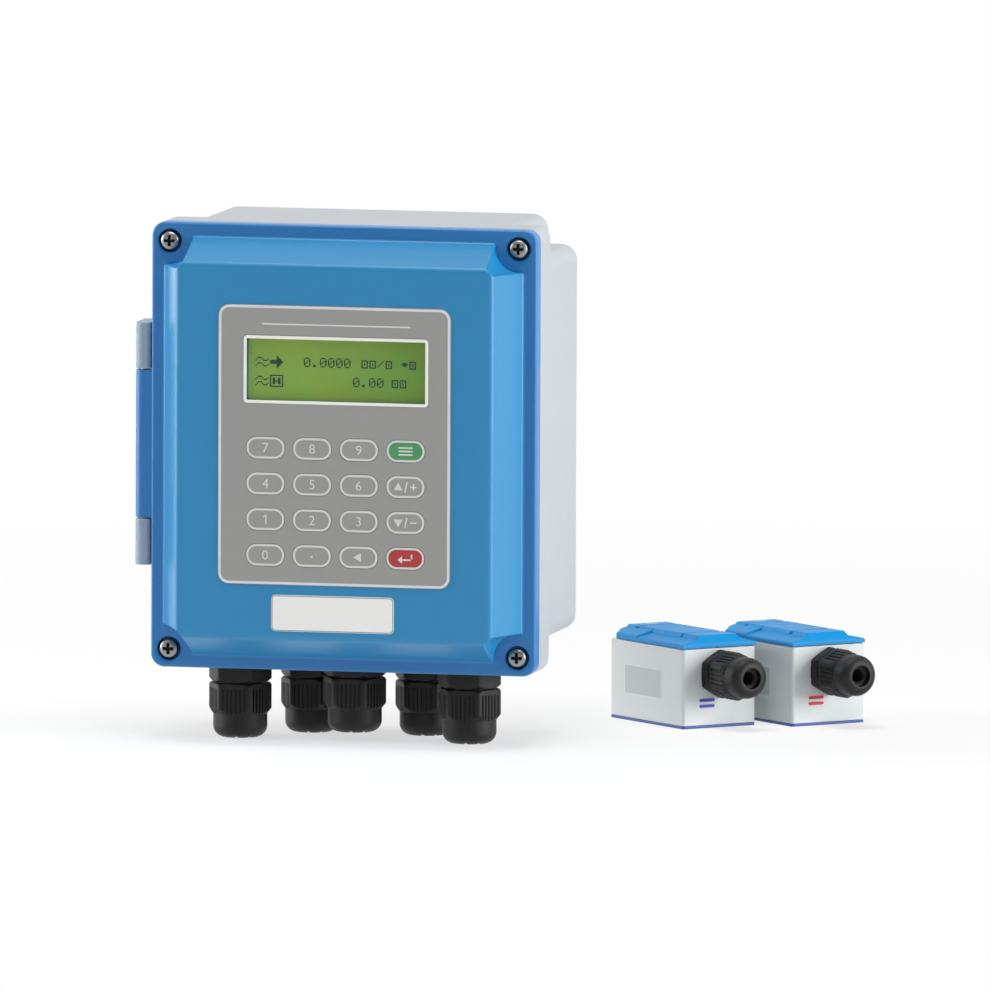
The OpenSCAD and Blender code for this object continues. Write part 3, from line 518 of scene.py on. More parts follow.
def ink(name, colour, rough=0.5):
    """Screen-printed ink: slightly uneven cover, with the mesh's faint grain."""
    tree = Tree(name)
    cover = tree.noise(0.6, 3, 0.7)
    tree.finish(Base_Color=tree.blend(cover, shade(colour, 0.94), colour), Roughness=cover * 0.1 + (rough - 0.05),
                Normal=tree.bump(cover, 0.004))


def circuit_board(name, colour, header=None):
    """Solder resist over copper: tracks show as lighter lines in bundles, with tinned pads here and there. A header
    is a pair of levels along Y: the foot of a black connector, and its face with two rows of pins."""
    tree = Tree(name)
    flat = tree.add("Mapping", None, {"Vector": tree.place, "Rotation": (RIGHT, 0.0, 0.0)})
    tracks = tree.add("TexBrick", {"offset": 0.37, "squash": 1.6, "squash_frequency": 3}, {
        "Vector": flat, "Scale": 1.0, "Brick Width": 0.027, "Row Height": 0.0019, "Mortar Size": 0.00022,
        "Mortar Smooth": 0.1}, out="Fac")
    pads = 1 - tree.add("TexVoronoi", None, {"Vector": flat, "Scale": 260.0, "Randomness": 0.4}).over(0.16, 0.03)
    tone = tree.blend(pads, tree.blend(tracks, colour, shade(colour, 1.7)), paint(176, 178, 178))
    if header:
        x, y, z = tree.split()
        past = y.over(header[0], 0.02)
        pins = x.wave(PIN_PITCH).over(0.5, 0.1) * z.wave(PIN_PITCH).over(0.5, 0.1)
        tone = tree.blend(past, tone, tree.blend(pins * y.over(header[1], 0.02), paint(30, 31, 33),
                                                 paint(206, 180, 104)))
        pads = pads * (1 - past)
    tree.finish(Base_Color=tone, Metallic=pads * 0.7, Roughness=0.42 - tracks * 0.08 - pads * 0.05,
                Normal=tree.bump(tracks + pads, 0.05))


def components(name):
    """Black moulded packages and sleeved cans on the main board: light tops on the faces towards the lid."""
    tree = Tree(name)
    _, y, _ = tree.split()
    facing = tree.add("SeparateXYZ", None, {0: tree.add("NewGeometry", out="Normal")}, out=1)
    top = (1 - facing.over(-0.7, 0.1)) * (1 - y.over(Y_TALL_PARTS, 0.1))
    fine = tree.noise(0.3, 3)
    tree.finish(Base_Color=tree.blend(top, paint(34, 35, 37), paint(168, 171, 174)), Metallic=top * 0.8,
                Roughness=0.5 + fine * 0.15 - top * 0.1, Normal=tree.bump(fine, 0.02))


def laminated(name, middle, half_coil):
    """A small mains transformer: dark plates stacked along Z with a taped winding about a middle along X."""
    tree = Tree(name)
    x, _, z = tree.split()
    coil = 1 - (x - middle).math("ABSOLUTE").over(half_coil, 0.02)
    plates = z.wave(0.7) * 0.5 + 0.5
    tape = tree.noise(6, 3, 0.6, stretch=(0.3, 1.0, 1.0))
    iron = tree.blend(plates, paint(46, 45, 48), paint(92, 90, 92))
    wrap = tree.blend(tape, paint(196, 158, 52), paint(226, 190, 84))
    tree.finish(Base_Color=tree.blend(coil, iron, wrap), Metallic=(1 - coil) * 0.6,
                Roughness=0.5 - coil * 0.15 + tape * 0.1, Normal=tree.bump(plates * (1 - coil) + tape * coil, 0.08))


def display_panel(name, colour, glow):
    """A backlit liquid crystal: a faint lattice of cells, greener in drifting patches, and brighter to the left."""
    tree = Tree(name)
    x, _, z = tree.split()
    lattice = x.wave(CELL).math("MAXIMUM", z.wave(CELL)).over(0.85, 0.3) * 0.06
    side = (x - WINDOW[0]) * (1 / WINDOW[2]) + 0.5
    middle = 1 - ((z - WINDOW[1]) * (2 / WINDOW[3])).math("ABSOLUTE") ** 2
    green = tree.blend(tree.noise(18, 2) * 0.9 + middle * 0.35 - 0.25, colour, paint(88, 148, 70))
    away = side.math("MAXIMUM", 0.0) * 0.75 + tree.noise(25, 2) * 0.3 + lattice * 2
    lit = tree.blend(away, tree.tint(green, (1.66, 1.4, 1.5)), tree.tint(green, (0.86, 0.86, 0.3)))
    tree.finish(Base_Color=lit, Roughness=0.35 + lattice, Emission_Color=lit, Emission_Strength=glow)


def clear_sheet(name, alpha):
    """Clear window film: nearly all of what is behind it shows, under a soft reflection."""
    tree = Tree(name)
    smears = tree.noise(20, 4, 0.6)
    tree.finish(Base_Color=paint(120, 128, 120), Roughness=smears * 0.12 + 0.06, Alpha=alpha, Specular_IOR_Level=0.5)


def resin_block(name):
    """Cast wedge of pale resin."""
    tree = Tree(name)
    cloud = tree.noise(5, 4, 0.6)
    tree.finish(Base_Color=tree.blend(cloud, paint(205, 178, 120), paint(228, 206, 155)),
                Roughness=cloud * 0.2 + 0.3, Normal=tree.bump(cloud, 0.05))


def make_finishes(look):
    """All finishes, from the colours and textures that the panel offers."""
    grain, even = look.grain_depth / MM, (1.0, 1.0, 1.0)
    moulded("housing_grey", tuple(look.housing), 0.5, 0.55, grain, 0.03, 0.1)
    # The cover's rim tint is painted shade: rim, sides and hinge barrel are made darker and bluer for the dimmer light
    # on them
    moulded("cover_blue", tuple(look.cover), look.cover_roughness, 0.7, grain * 0.4, 0.05, 0.1, coat=0.32, warm=0.8,
            rim=(Y_RIM - 0.4, (0.86, 0.75, 0.94)))
    # painted shade: the lugs are the housing's grey made darker and bluer for the shade they sit in
    moulded("shaded_lug_grey", paint(139, 158, 175), 0.45, 0.55, grain, 0.04, 0.1)
    rubber("gasket_rubber", paint(40, 41, 43))
    metal("pin_steel", paint(188, 190, 194), 0.3)
    metal("screw_steel", paint(178, 182, 188), 0.32, even)
    # the cover screws get painted shade in their cross and at their foot
    metal("cover_screw_steel", paint(164, 163, 163), 0.4, even, painted_recess_shade=Y_SCREW_CROWN + 1.1)
    metal("insert_brass", paint(196, 160, 88), 0.32)
    circuit_board("board_green", paint(22, 84, 52))
    circuit_board("display_board_green", paint(22, 84, 52), HEADER_LEVELS)
    moulded("terminal_green", paint(48, 150, 78), 0.4, 0.3, 0.01)
    laminated("transformer_steel", *COIL)
    components("component_black")
    moulded("gland_black", paint(18, 18, 17), 0.5, 0.45, 0.012, 0.12, 0.16, warm=0.65)
    rubber("seal_rubber", paint(30, 30, 31))
    for name, colour, rough in (("overlay_grey", tuple(look.overlay), 0.5), ("key_green", paint(74, 148, 94), 0.45),
                                ("key_red", paint(174, 54, 56), 0.45)):
        moulded(name, colour, rough, 0.28, 0.008, 0.03, 0.08)
    metal("dome_steel", paint(196, 198, 202), 0.25)
    clear_sheet("window_clear", 0.05)
    display_panel("lcd_green", tuple(look.lcd), 0.25)
    metal("bezel_steel", paint(150, 154, 160), 0.35)
    moulded("label_white", paint(238, 238, 235), 0.45, 0.4, 0.005, 0.02, 0.06)
    moulded("sensor_grey", paint(203, 208, 209), 0.5, 0.5, grain, 0.03, 0.1)
    moulded("sensor_blue", tuple(look.sensor), 0.44, 0.5, grain * 0.6, 0.05, 0.1, warm=0.35)
    moulded("sole_blue", paint(38, 78, 150), 0.4, 0.5, 0.01)
    resin_block("wedge_resin")
    ink("ink_dark", paint(14, 56, 44), 0.6)
    for name, colour in {"white": (214, 216, 212), "frame": (217, 222, 227), "cream": (246, 247, 238),
                         "blue": (36, 60, 170), "red": (208, 36, 44), "edge": (120, 128, 136),
                         "grey": (182, 188, 190), "pale": (212, 217, 218)}.items():
        ink(f"ink_{name}", paint(*colour))


# ---- Housing and cover

def rings(radius, half_x, half_z, x=0.0, z=0.0):
    """Circles of one radius at the four corners of a rectangle about a middle."""
    return [circle(x + sx * half_x, z + sz * half_z, radius) for sx in (-1, 1) for sz in (-1, 1)]


def base_shell(edge):
    """The grey base: a full outline in front and stepped corners behind, joined at the shoulder through outlines
    with the same number of points, with its cavity, bolt holes and pillars."""
    shape = Shape()
    full = matched(BOX_W, BOX_H, NOTCH, STEP_R, CORNER_R)
    step = stepped(BOX_W, BOX_H, NOTCH, STEP_R)
    cavity = stepped(BOX_W - 2 * WALL, BOX_H - 2 * WALL, NOTCH, STEP_R - WALL)
    corner = np.tile(np.r_[0, np.ones(len(full) // 4 - 2), 0], 4)[:, None]
    levels = eased(full, Y_BASE_FRONT, Y_SHOULDER, LIP_R, 0)[:-1]
    levels += [(full + (loop - full) * corner, y)
               for loop, y in eased(full, Y_BASE_FRONT, Y_SHOULDER, 0, SHOULDER_R, 5)[1:]]
    levels += [(inset(step, 0.02), Y_SHOULDER), *eased(step, Y_SHOULDER + 0.02, 0, 0, edge, 5)]
    shape.walls(levels)
    inserts, bolts = rings(INSERT_R, SCREW_X, SCREW_Z), rings(BOLT_R, BOLT_X, BOLT_Z)
    shape.cap(levels[0][0], Y_BASE_FRONT, holes=[cavity, *inserts])
    within = eased(cavity, Y_BASE_FRONT, -WALL, 0, CAVITY_R, 5)
    shape.walls(within).cap(within[-1][0], -WALL)
    shape.cap(levels[-1][0], 0, holes=bolts)
    for loops, mouth, floor in ((inserts, Y_BASE_FRONT, Y_BASE_FRONT + INSERT_DEPTH), (bolts, 0, -BOLT_DEPTH)):
        for loop in loops:
            shape.well(loop, mouth, floor)
    for bosses, top, ease in ((rings(BOLT_BOSS_R, BOLT_X, BOLT_Z), Y_BOLT_BOSS, 0.6),
                              (rings(*BOARD_BOSSES), Y_BOARD_BOSS, 0.4)):
        for loop in bosses:
            shape.solid(loop, top, -WALL / 2, ease)
    return shape


def hinge_lugs():
    """The base's two knuckles: an outline round the pin with a web back to the housing's side, carried along Z."""
    shape = Shape()
    left, right = HINGE_X - KNUCKLE_R, HINGE_X + KNUCKLE_R
    front, step = HINGE_Y - KNUCKLE_R, Y_BASE_FRONT + 0.2
    lug = rounded([(left, front), (right, front), (right, step), (WEB_X, step), (WEB_X, WEB_BACK), (left, WEB_BACK)],
                  [3.6, 2.0, 0, 0, 0, 1.4])
    for low, high in ((LUG_LOW, LUG_HIGH), (-LUG_HIGH, -LUG_LOW)):
        shape.solid(lug, low, high, 0.5, 0.5, "z", [circle(HINGE_X, HINGE_Y, PIN_HOLE_R, 24)])
    return shape


def cover_shell(edge):
    """The blue cover: a flat rim, a raised panel whose sides lean in and are cut round the screws, the keypad's
    recess, the window's opening, and the same forms again inside at the wall's thickness."""
    shape = Shape()
    rim = eased(round_rect(BOX_W, BOX_H, CORNER_R, steps=10), Y_RIM, Y_COVER_BACK, edge, 0.4, 5)
    outside = soften([(FOOT_INSET - 1.6, Y_RIM), (FOOT_INSET, Y_RIM), (TOP_INSET, Y_PANEL),
                      (TOP_INSET + 2.2, Y_PANEL)], [1.2, 1.9], 6)
    hull = [(pocketed(i, POCKET_R + POCKET_OPEN * (Y_RIM - y) / (Y_RIM - Y_PANEL), 1.2), y) for i, y in outside]
    within = soften([(HOLLOW_FOOT, Y_COVER_BACK), (HOLLOW_FOOT, Y_RIM), (HOLLOW_TOP, Y_PANEL_INSIDE),
                     (HOLLOW_TOP + 2.0, Y_PANEL_INSIDE)], [1.5, 1.5])
    hollow = [(pocketed(i, HOLLOW_POCKET_R, 1.0), y) for i, y in within]
    for levels in (rim, hull, hollow):
        shape.walls(levels)
    bore = [(COUNTERBORE_R + 0.8, Y_RIM), (COUNTERBORE_R + 0.3, Y_RIM + 0.3), (COUNTERBORE_R, Y_RIM + 1.0),
            (COUNTERBORE_R, Y_COUNTERBORE), (SHANK_HOLE_R, Y_COUNTERBORE), (SHANK_HOLE_R, Y_COVER_BACK)]
    bores = [[(loop, y) for loop in rings(r, SCREW_X, SCREW_Z)] for r, y in bore]
    for levels in zip(*bores):
        shape.walls(levels)
    for (face, y), (foot, _), mouths in ((rim[0], hull[0], bores[0]), (rim[-1], hollow[0], bores[-1])):
        shape.cap(face, y, holes=[foot, *[loop for loop, _ in mouths]])
    x, z, w, h, r = OVERLAY
    recess = round_rect(w + 0.2, h + 0.2, r + 0.1, x, z)
    x, z, w, h, r = WINDOW
    opening = round_rect(w - 2 * r, h - 2 * r, r, x, z)
    shape.cap(hull[-1][0], Y_PANEL, holes=[recess]).well(recess, Y_PANEL, Y_RECESS, [opening])
    shape.walls([(opening, Y_RECESS), (opening, Y_PANEL_INSIDE)])
    shape.cap(hollow[-1][0], Y_PANEL_INSIDE, holes=[opening])
    for loop in rings(*DISPLAY_BOSSES):
        shape.solid(loop, Y_RECESS + 0.7, Y_PANEL_INSIDE + 5.5, 0, 0.3)
    left, front, back = HINGE_X - KNUCKLE_R, HINGE_Y - KNUCKLE_R, HINGE_Y + KNUCKLE_R
    barrel = rounded([(left, front), (BARREL_X, front), (BARREL_X, back - 0.5), (left, back)], [3.6, 0, 0, 3.6])
    return shape.solid(barrel, -BARREL_HALF, BARREL_HALF, 0.5, 0.5, "z", [circle(HINGE_X, HINGE_Y, PIN_HOLE_R, 24)])


def screw_head(x, z, seat):
    """A cover screw: round bands of radius and height, whose crown sinks where a cross-shaped recess lies. A slot is
    full where both distances are inside it, and fades over a short slope."""
    turn = np.arange(120) / 120 * 2 * math.pi
    radius = np.r_[0, np.linspace(0.25, 2.7, 24), 3.0, 3.4, 3.7, 3.9, 4.0, 4.0, 4.0, 2.0, 2.0, 0]
    height = np.interp(radius, [0, 2.4, 3.0, 3.4, 3.7, 3.9, 4.0], [CROWN_H, 2.3, 2.1, 1.9, 1.65, 1.4, 1.05])
    height[-5:] = [0.2, 0.06, 0.06, -7, -7]
    px, pz = radius[:, None] * np.cos(turn), radius[:, None] * np.sin(turn)

    def slot(along, across):
        slope = np.clip((2.45 - abs(along)) / 0.3, 0, 1) * np.clip((0.72 - abs(across)) / 0.24, 0, 1)
        return slope * slope * (3 - 2 * slope)

    sunk = np.maximum(slot(px, pz), slot(pz, px)) * 2.0
    sunk[-7:] = 0
    return Shape().grid(np.stack([x + px, seat - (height[:, None] - sunk), z + pz], 2))


# ---- Glands

def hexagon_angles(spec):
    """Angles round a hexagon, each side's distance at them, and how deep each lies in a rib groove. Along a side the
    place is half the width across the flats times the tangent of the angle from the side's middle."""
    half = spec["af"] / 2
    corner = half * math.tan(math.pi / 6)
    middles = (np.arange(spec["ribs"]) - (spec["ribs"] - 1) / 2) * RIB_PITCH
    grooves = middles[:, None] + np.array([-1, -1, 1, 1]) * RIB_W / 2 + np.array([-1, 1, -1, 1]) * RIB_SLOPE / 2
    along = np.r_[-corner, -corner + 0.35, -corner + 0.75, grooves.ravel(), corner - 0.75, corner - 0.35]
    deep = np.r_[0, 0, 0, np.tile([0, 1, 1, 0], spec["ribs"]), 0, 0]
    turn = np.arctan(along / half)
    sides = math.radians(30) + np.arange(6) * math.radians(60)
    return (sides[:, None] + turn).ravel(), np.tile(half / np.cos(turn), 6), np.tile(deep, 6)


def bands(theta, radii, heights):
    """Closed rings of points, one for each pair of a radius and a height, either of which may vary with the angle."""
    return np.stack([np.stack(np.broadcast_arrays(r * np.cos(theta), r * np.sin(theta), z), 1)
                     for r, z in zip(radii, heights)])


def nut_bands(spec):
    """A gland's nut: at each height the lesser of the hexagon, with its rib grooves, and a round limit that shrinks
    towards the dome, so the flats end in arcs; then the dome's quarter circle, the mouth and the hollow inside."""
    theta, side, deep = hexagon_angles(spec)
    corner, waist, h = spec["af"] / math.sqrt(3) - 0.3, spec["waist"], spec["nut_h"]
    top = h + spec["dome"]
    heights = [0, 0.7, h / 6, h / 6 + 0.3, h * 0.5, h - 2.2, h - 1.6, h - 1.0, h - 0.4, h + 0.2]
    limits = [corner - 0.8, corner, corner, corner, corner, corner, *np.linspace(corner, waist + 0.2, 5)[1:]]
    ribbed = [0, 0, 0, 1, 1, 1, 1, 1, 1, 1]
    radii = [np.minimum(side - deep * RIB_DEPTH * rib, limit) for rib, limit in zip(ribbed, limits)]
    radii.append(np.full_like(theta, waist))
    heights.append(h + 0.35)
    turn = np.linspace(0, RIGHT, 8)
    notch = np.clip((np.cos(8 * theta) - 0.55) / 0.25, 0, 1) * spec["notch"]
    for a in turn:
        radii.append(waist - spec["round"] * (1 - math.cos(a)))
        heights.append(top - spec["round"] * (1 - math.sin(a)) - notch * np.clip((a - 0.75) / 0.45, 0, 1))
    mouth, neck = spec["mouth"], spec["neck"] + 0.05
    radii += [mouth + 0.08, mouth, mouth, neck, neck]
    heights += [top - 0.06 - notch, top - 0.4 - notch, top - spec["mouth_len"], top - spec["mouth_len"], 0]
    return bands(theta, radii, heights)


def body_bands(spec, rise):
    """A gland's fixed body: thread ridges, a chamfered hexagon, the neck and the bore, as closed rings."""
    theta, side, _ = hexagon_angles(spec)
    corner, h = spec["af"] / math.sqrt(3) - 0.3, spec["hex_h"] - rise
    start, thread = -spec["spigot"], spec["thread"]
    ridge = np.arange(start + 0.4, -1.0, 0.55)
    radii = [thread - 0.6, *np.where(np.arange(len(ridge)) % 2, thread - 0.45, thread), thread - 0.1]
    heights = [start, *ridge, 0]
    for z, limit in ((0, corner - 0.9), (0.5, corner), (h - 1.3, corner), (h - 0.85, corner - 0.45),
                     (h - 0.4, corner - 0.95), (h, corner - 1.5)):
        radii.append(np.minimum(side, limit))
        heights.append(z)
    neck = h + spec["gap"] + spec["nut_h"] / 2
    radii += [spec["neck"], spec["neck"], spec["bore"], spec["bore"]]
    heights += [h, neck, neck, start]
    return bands(theta, radii, heights)


def gland_place(at):
    """Puts points on a housing gland's axis, with their Z pointing down from the housing's floor."""
    x, y, _ = GLANDS[at]
    return lambda p: np.stack([x + p[:, 0], y - p[:, 1], -BOX_H / 2 - p[:, 2]], 1)


# ---- Transducers

def sensor_place(at):
    """Puts points of a transducer's own frame in the model's: turned by the yaw, then moved to its place."""
    cos, sin = math.cos(SENSOR_YAW), math.sin(SENSOR_YAW)

    def put(p):
        x, y = p[:, 0] + at * SENSOR_STEP[0], p[:, 1] + at * SENSOR_STEP[1]
        return np.stack([SENSOR_PLACE[0] + x * cos - y * sin, SENSOR_PLACE[1] + x * sin + y * cos,
                         Z_FLOOR + p[:, 2]], 1)
    return put


def sensor_gland_place(at):
    """Puts points on a transducer's gland axis, with their Z pointing out of the case."""
    put = sensor_place(at)
    return lambda p: put(np.stack([SENSOR_L / 2 + p[:, 2], p[:, 1], SENSOR_GLAND_Z - p[:, 0]], 1))


def cap_height(x, y):
    """Height of a transducer's cap over a place, with x from its plain end: two slopes up to a flat middle, raised
    near the plain end, sloped off at the nose, and lowered in the grooves and lines across the middle."""
    half = SENSOR_W / 2
    lift = SADDLE_RISE * np.clip((SADDLE_L - x) / 0.4 + 0.5, 0, 1)
    reach = [0, half - CAP_SLOPE - CAP_STEP, half - CAP_SLOPE, half]
    away = abs(y)
    low = np.interp(away, reach, [CAP_RISE, CAP_RISE, CAP_SHOULDER, CAP_EDGE])
    z = low + lift * np.interp(away, reach, [0, 0, 1, 1])
    z = np.minimum(z, CAP_EDGE + (SENSOR_L - x) * (CAP_RISE - CAP_EDGE) / NOSE)
    middle = np.clip((half - CAP_SLOPE - away) / 0.3 + 0.5, 0, 1)
    for place, width, depth in GROOVES:
        share = np.clip((width / 2 - abs(x - place)) / 0.35 + 0.5, 0, 1) * middle
        z = z - share * np.maximum(z - (CAP_RISE - depth), 0)
    return z


def cap_surface():
    """A transducer's cap: a grid of heights over its plan, whose edge falls in a small quarter circle, with upright
    sides and a flat underside. The plan's two corners at the plain end are cut off."""
    marks = [0, SADDLE_L - 0.2, SADDLE_L + 0.2, SENSOR_L - NOSE]
    for place, width, _ in GROOVES:
        marks += [place + s * (width / 2 + d) for s in (-1, 1) for d in (-0.18, 0.18)]
    edge = 0.7
    rim = edge * (1 - np.cos(np.linspace(0, RIGHT, 5)))
    x = np.unique(np.round(np.r_[marks, rim, SENSOR_L - rim, np.linspace(0, SENSOR_L, 41), CAP_CORNER], 3))
    half = SENSOR_W / 2
    folds = [half - CAP_SLOPE - CAP_STEP, half - CAP_SLOPE, half - CAP_SLOPE - 0.15, half - CAP_SLOPE + 0.15]
    y = np.unique(np.round(np.r_[half - rim, folds, np.linspace(0, half, 15)], 3))
    y = np.r_[-y[::-1], y[1:]]
    gx, gy = np.meshgrid(x, y, indexing="ij")
    bound = half - np.maximum(CAP_CORNER - gx, 0)
    gy = np.clip(gy, -bound, bound)
    away = np.minimum(np.minimum(bound - abs(gy), gx), SENSOR_L - gx)
    fall = edge - np.sqrt(np.maximum(edge ** 2 - np.maximum(edge - away, 0) ** 2, 0))
    z = np.maximum(cap_height(gx, gy) - fall, 0.9)
    top = np.stack([gx - SENSOR_L / 2, gy, z + SENSOR_H], 2)
    under = top * [1, 1, 0] + [0, 0, SENSOR_H]
    return top, under


# ---- Prints

def print_figure(shape, text, x, z, height, front):
    """Adds a figure's thin print on a face towards the viewer: Blender's own font, centred and scaled to a height."""
    curve = bpy.data.curves.new("figure", "FONT")
    curve.body, curve.size, curve.extrude, curve.resolution_u, curve.offset = text, 10.0, 0.5, 5, -0.06
    holder = bpy.data.objects.new("figure", curve)
    mesh = bpy.data.meshes.new_from_object(holder)
    mesh.calc_loop_triangles()
    points = np.array([v.co for v in mesh.vertices], float)
    faces = np.array([t.vertices for t in mesh.loop_triangles])
    for block, made in ((bpy.data.objects, holder), (bpy.data.curves, curve), (bpy.data.meshes, mesh)):
        block.remove(made)
    low, high = points.min(0), points.max(0)
    flat = (points - (low + high) / 2) * height / (high[1] - low[1])
    shape.add(np.stack([x + flat[:, 0], front - points[:, 2] * 2 * PRINT_T, z + flat[:, 1]], 1), faces)


def bar(x, z, w, h):
    """Outline of a small bar with round ends."""
    return round_rect(w, h, min(w, h) / 2 - 0.02, x, z, 3)


def arrow(x, z, size, turn):
    """Outline of a triangle that points up when its turn is zero."""
    angles = np.radians(np.array([90, 210, 330]) + turn)
    return rounded(np.stack([x + size * np.cos(angles), z + size * np.sin(angles)], 1), 0.15, 3)


DOTS = {
    "0": "01110 10001 10011 10101 11001 10001 01110",
    ".": "00000 00000 00000 00000 00000 01100 01100",
    ":": "00000 11111 10001 10101 10101 10001 11111",
    "/": "00000 00001 00010 00100 01000 10000 00000",
    "*": "00000 00000 01110 11111 01110 00000 00000",
    "~": "0000000000 0011100000 0100010001 1000001110 0000000000 0011100000 0100010001 1000001110 0000000000",
    ">": "0000010000 0000011000 0000011100 1111111110 1111111111 1111111110 0000011100 0000011000 0000010000",
    "=": "1111111111 1000000001 1011001101 1011001101 1011111101 1011001101 1011001101 1000000001 1111111111",
}


def dot_figures(shape, text, x, z, front):
    """Adds figures made of square dots, from the top left, with one column between neighbours."""
    for figure in text:
        rows = np.array([[c == "1" for c in row] for row in DOTS[figure].split()])
        for row, column in zip(*np.nonzero(rows)):
            shape.ink(round_rect(DOT * 0.98, DOT * 0.98, 0.04, x + column * DOT, z - row * DOT, 1), front)
        x += (rows.shape[1] + 1) * DOT


def middle_of(node):
    """The middle of a CAD node's box, and its lowest corner, in millimetres."""
    low, high = (np.array(c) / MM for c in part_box(node))
    return (low + high) / 2, low


def key_legend(key):
    """Outlines of the generic mark on one key, about the key's middle: an upright figure, a point, arrows with a
    slash and plus or minus, a list or a return arrow. The other figures are printed from a font."""
    slash = [(-0.55, -2.3), (0.05, -2.3), (1.05, 2.3), (0.45, 2.3)]
    across, upright = bar(3.6, 0, 3.0, 0.6), bar(3.6, 0, 0.6, 3.0)
    return {
        "1": [[(-1.05, 1.15), (0.1, 2.05), (0.6, 2.05), (0.6, -2.05), (0.05, -2.05), (0.05, 1.4), (-0.8, 0.75)]],
        "point": [circle(0, -0.3, 0.5, 16)],
        "left": [arrow(0, 0, 2.3, 90)],
        "up": [arrow(-3.2, -0.3, 2.3, 0), slash, across, upright],
        "down": [arrow(-3.2, 0.3, 2.3, 180), slash, across],
        "menu": [bar(0, row, 6.4, 0.7) for row in (-1.5, 0.0, 1.5)],
        "enter": [[(-3.4, -0.6), (-1.4, -2.3), (-1.4, -0.95), (2.5, -0.95), (2.5, 1.8), (3.2, 1.8), (3.2, -0.25),
                   (-1.4, -0.25), (-1.4, 1.1)]],
    }.get(key)


# ---- Settings and operators

def colour_setting(name, of, default):
    """A colour that the panel offers."""
    return bpy.props.FloatVectorProperty(name=name, description=f"Colour of the {of}", subtype="COLOR", size=3,
                                         min=0, max=1, default=default)


def size_setting(name, description, default, low, high):
    """A length, in metres, that the panel offers."""
    return bpy.props.FloatProperty(name=name, description=description, default=default, min=low, max=high,
                                   unit="LENGTH")


class FlowMeterSettings(bpy.types.PropertyGroup):
    """Sizes and colours that a user may change before the pieces are made."""
    housing: colour_setting("Housing", "grey base", paint(176, 181, 186))
    cover: colour_setting("Cover", "cover", paint(31, 131, 184))
    overlay: colour_setting("Keypad", "keypad's film", paint(152, 152, 149))
    lcd: colour_setting("Display", "lit display", paint(112, 142, 40))
    sensor: colour_setting("Transducer cap", "transducers' caps", paint(12, 134, 198))
    floor: colour_setting("Floor", "floor", (0.9, 0.9, 0.9))
    cover_roughness: bpy.props.FloatProperty(
        name="Cover roughness", description="How dull the cover's surface is", default=0.38, min=0.05, max=0.9)
    grain_depth: size_setting("Grain depth", "Depth of the grain moulded into the housing", 0.000012, 0, 0.0002)
    base_edge: size_setting("Rear edge", "Radius of the edge round the housing's rear face", 0.0025, 0.0005, 0.0035)
    rim_edge: size_setting("Rim edge", "Radius of the edge round the cover's rim", 0.0012, 0.0004, 0.003)


class FLOWMETER_OT_finishes(bpy.types.Operator):
    """Makes all finishes from the panel's colours; the steps after it use them"""
    bl_idname = "flow_meter.finishes"
    bl_label = "Finishes"

    def execute(self, context):
        make_finishes(context.scene.flow_meter)
        return {"FINISHED"}


class FLOWMETER_OT_base(bpy.types.Operator):
    """Makes the grey base with its lugs, and gives the pieces inside it their finishes"""
    bl_idname = "flow_meter.base"
    bl_label = "Base housing"

    def execute(self, context):
        edge = context.scene.flow_meter.base_edge / MM
        piece("base_housing_shell", base_shell(edge), "base", "housing_grey", replaces=["base_housing"])
        # the lugs wear a shaded copy of the housing grey: painted shade
        piece("hinge_lug_pair", hinge_lugs(), "base", "shaded_lug_grey", "housing_grey")
        wear({"cover_gasket": "gasket_rubber", "hinge_pin": "pin_steel", "screw_inserts": "insert_brass",
              "main_board": "board_green", "board_screws": "screw_steel", "terminal_blocks": "terminal_green",
              "transformer": "transformer_steel", "board_components": "component_black",
              "gland_locknuts": "gland_black", "gland_seals": "seal_rubber"})
        return {"FINISHED"}


class FLOWMETER_OT_cover(bpy.types.Operator):
    """Makes the blue cover and its blank label plate"""
    bl_idname = "flow_meter.cover"
    bl_label = "Front cover"

    def execute(self, context):
        edge = context.scene.flow_meter.rim_edge / MM
        piece("front_cover_shell", cover_shell(edge), "cover", "cover_blue", replaces=["front_cover"])
        x, z, w, h, r = LABEL
        outline, front = round_rect(w, h, r, x, z), Y_PANEL - 0.3
        line = Shape().ink(inset(outline, 0.25), front, [inset(outline, 0.6)])
        piece("label_plate_line", line, "cover", "ink_edge", "label_white")
        plate = Shape().solid(outline, front, Y_PANEL + 0.1, 0.12)
        piece("cover_label_plate", plate, "cover", "label_white", replaces=["cover_label"])
        return {"FINISHED"}


class FLOWMETER_OT_screws(bpy.types.Operator):
    """Makes the four cover screws"""
    bl_idname = "flow_meter.screws"
    bl_label = "Cover screws"

    def execute(self, context):
        for number in range(1, 5):
            node = f"cover_screw_{number}"
            middle, low = middle_of(node)
            head = screw_head(middle[0], middle[2], low[1] + CROWN_H)
            piece(f"{node}_body", head, node, "cover_screw_steel", "screw_steel", [node])
        return {"FINISHED"}


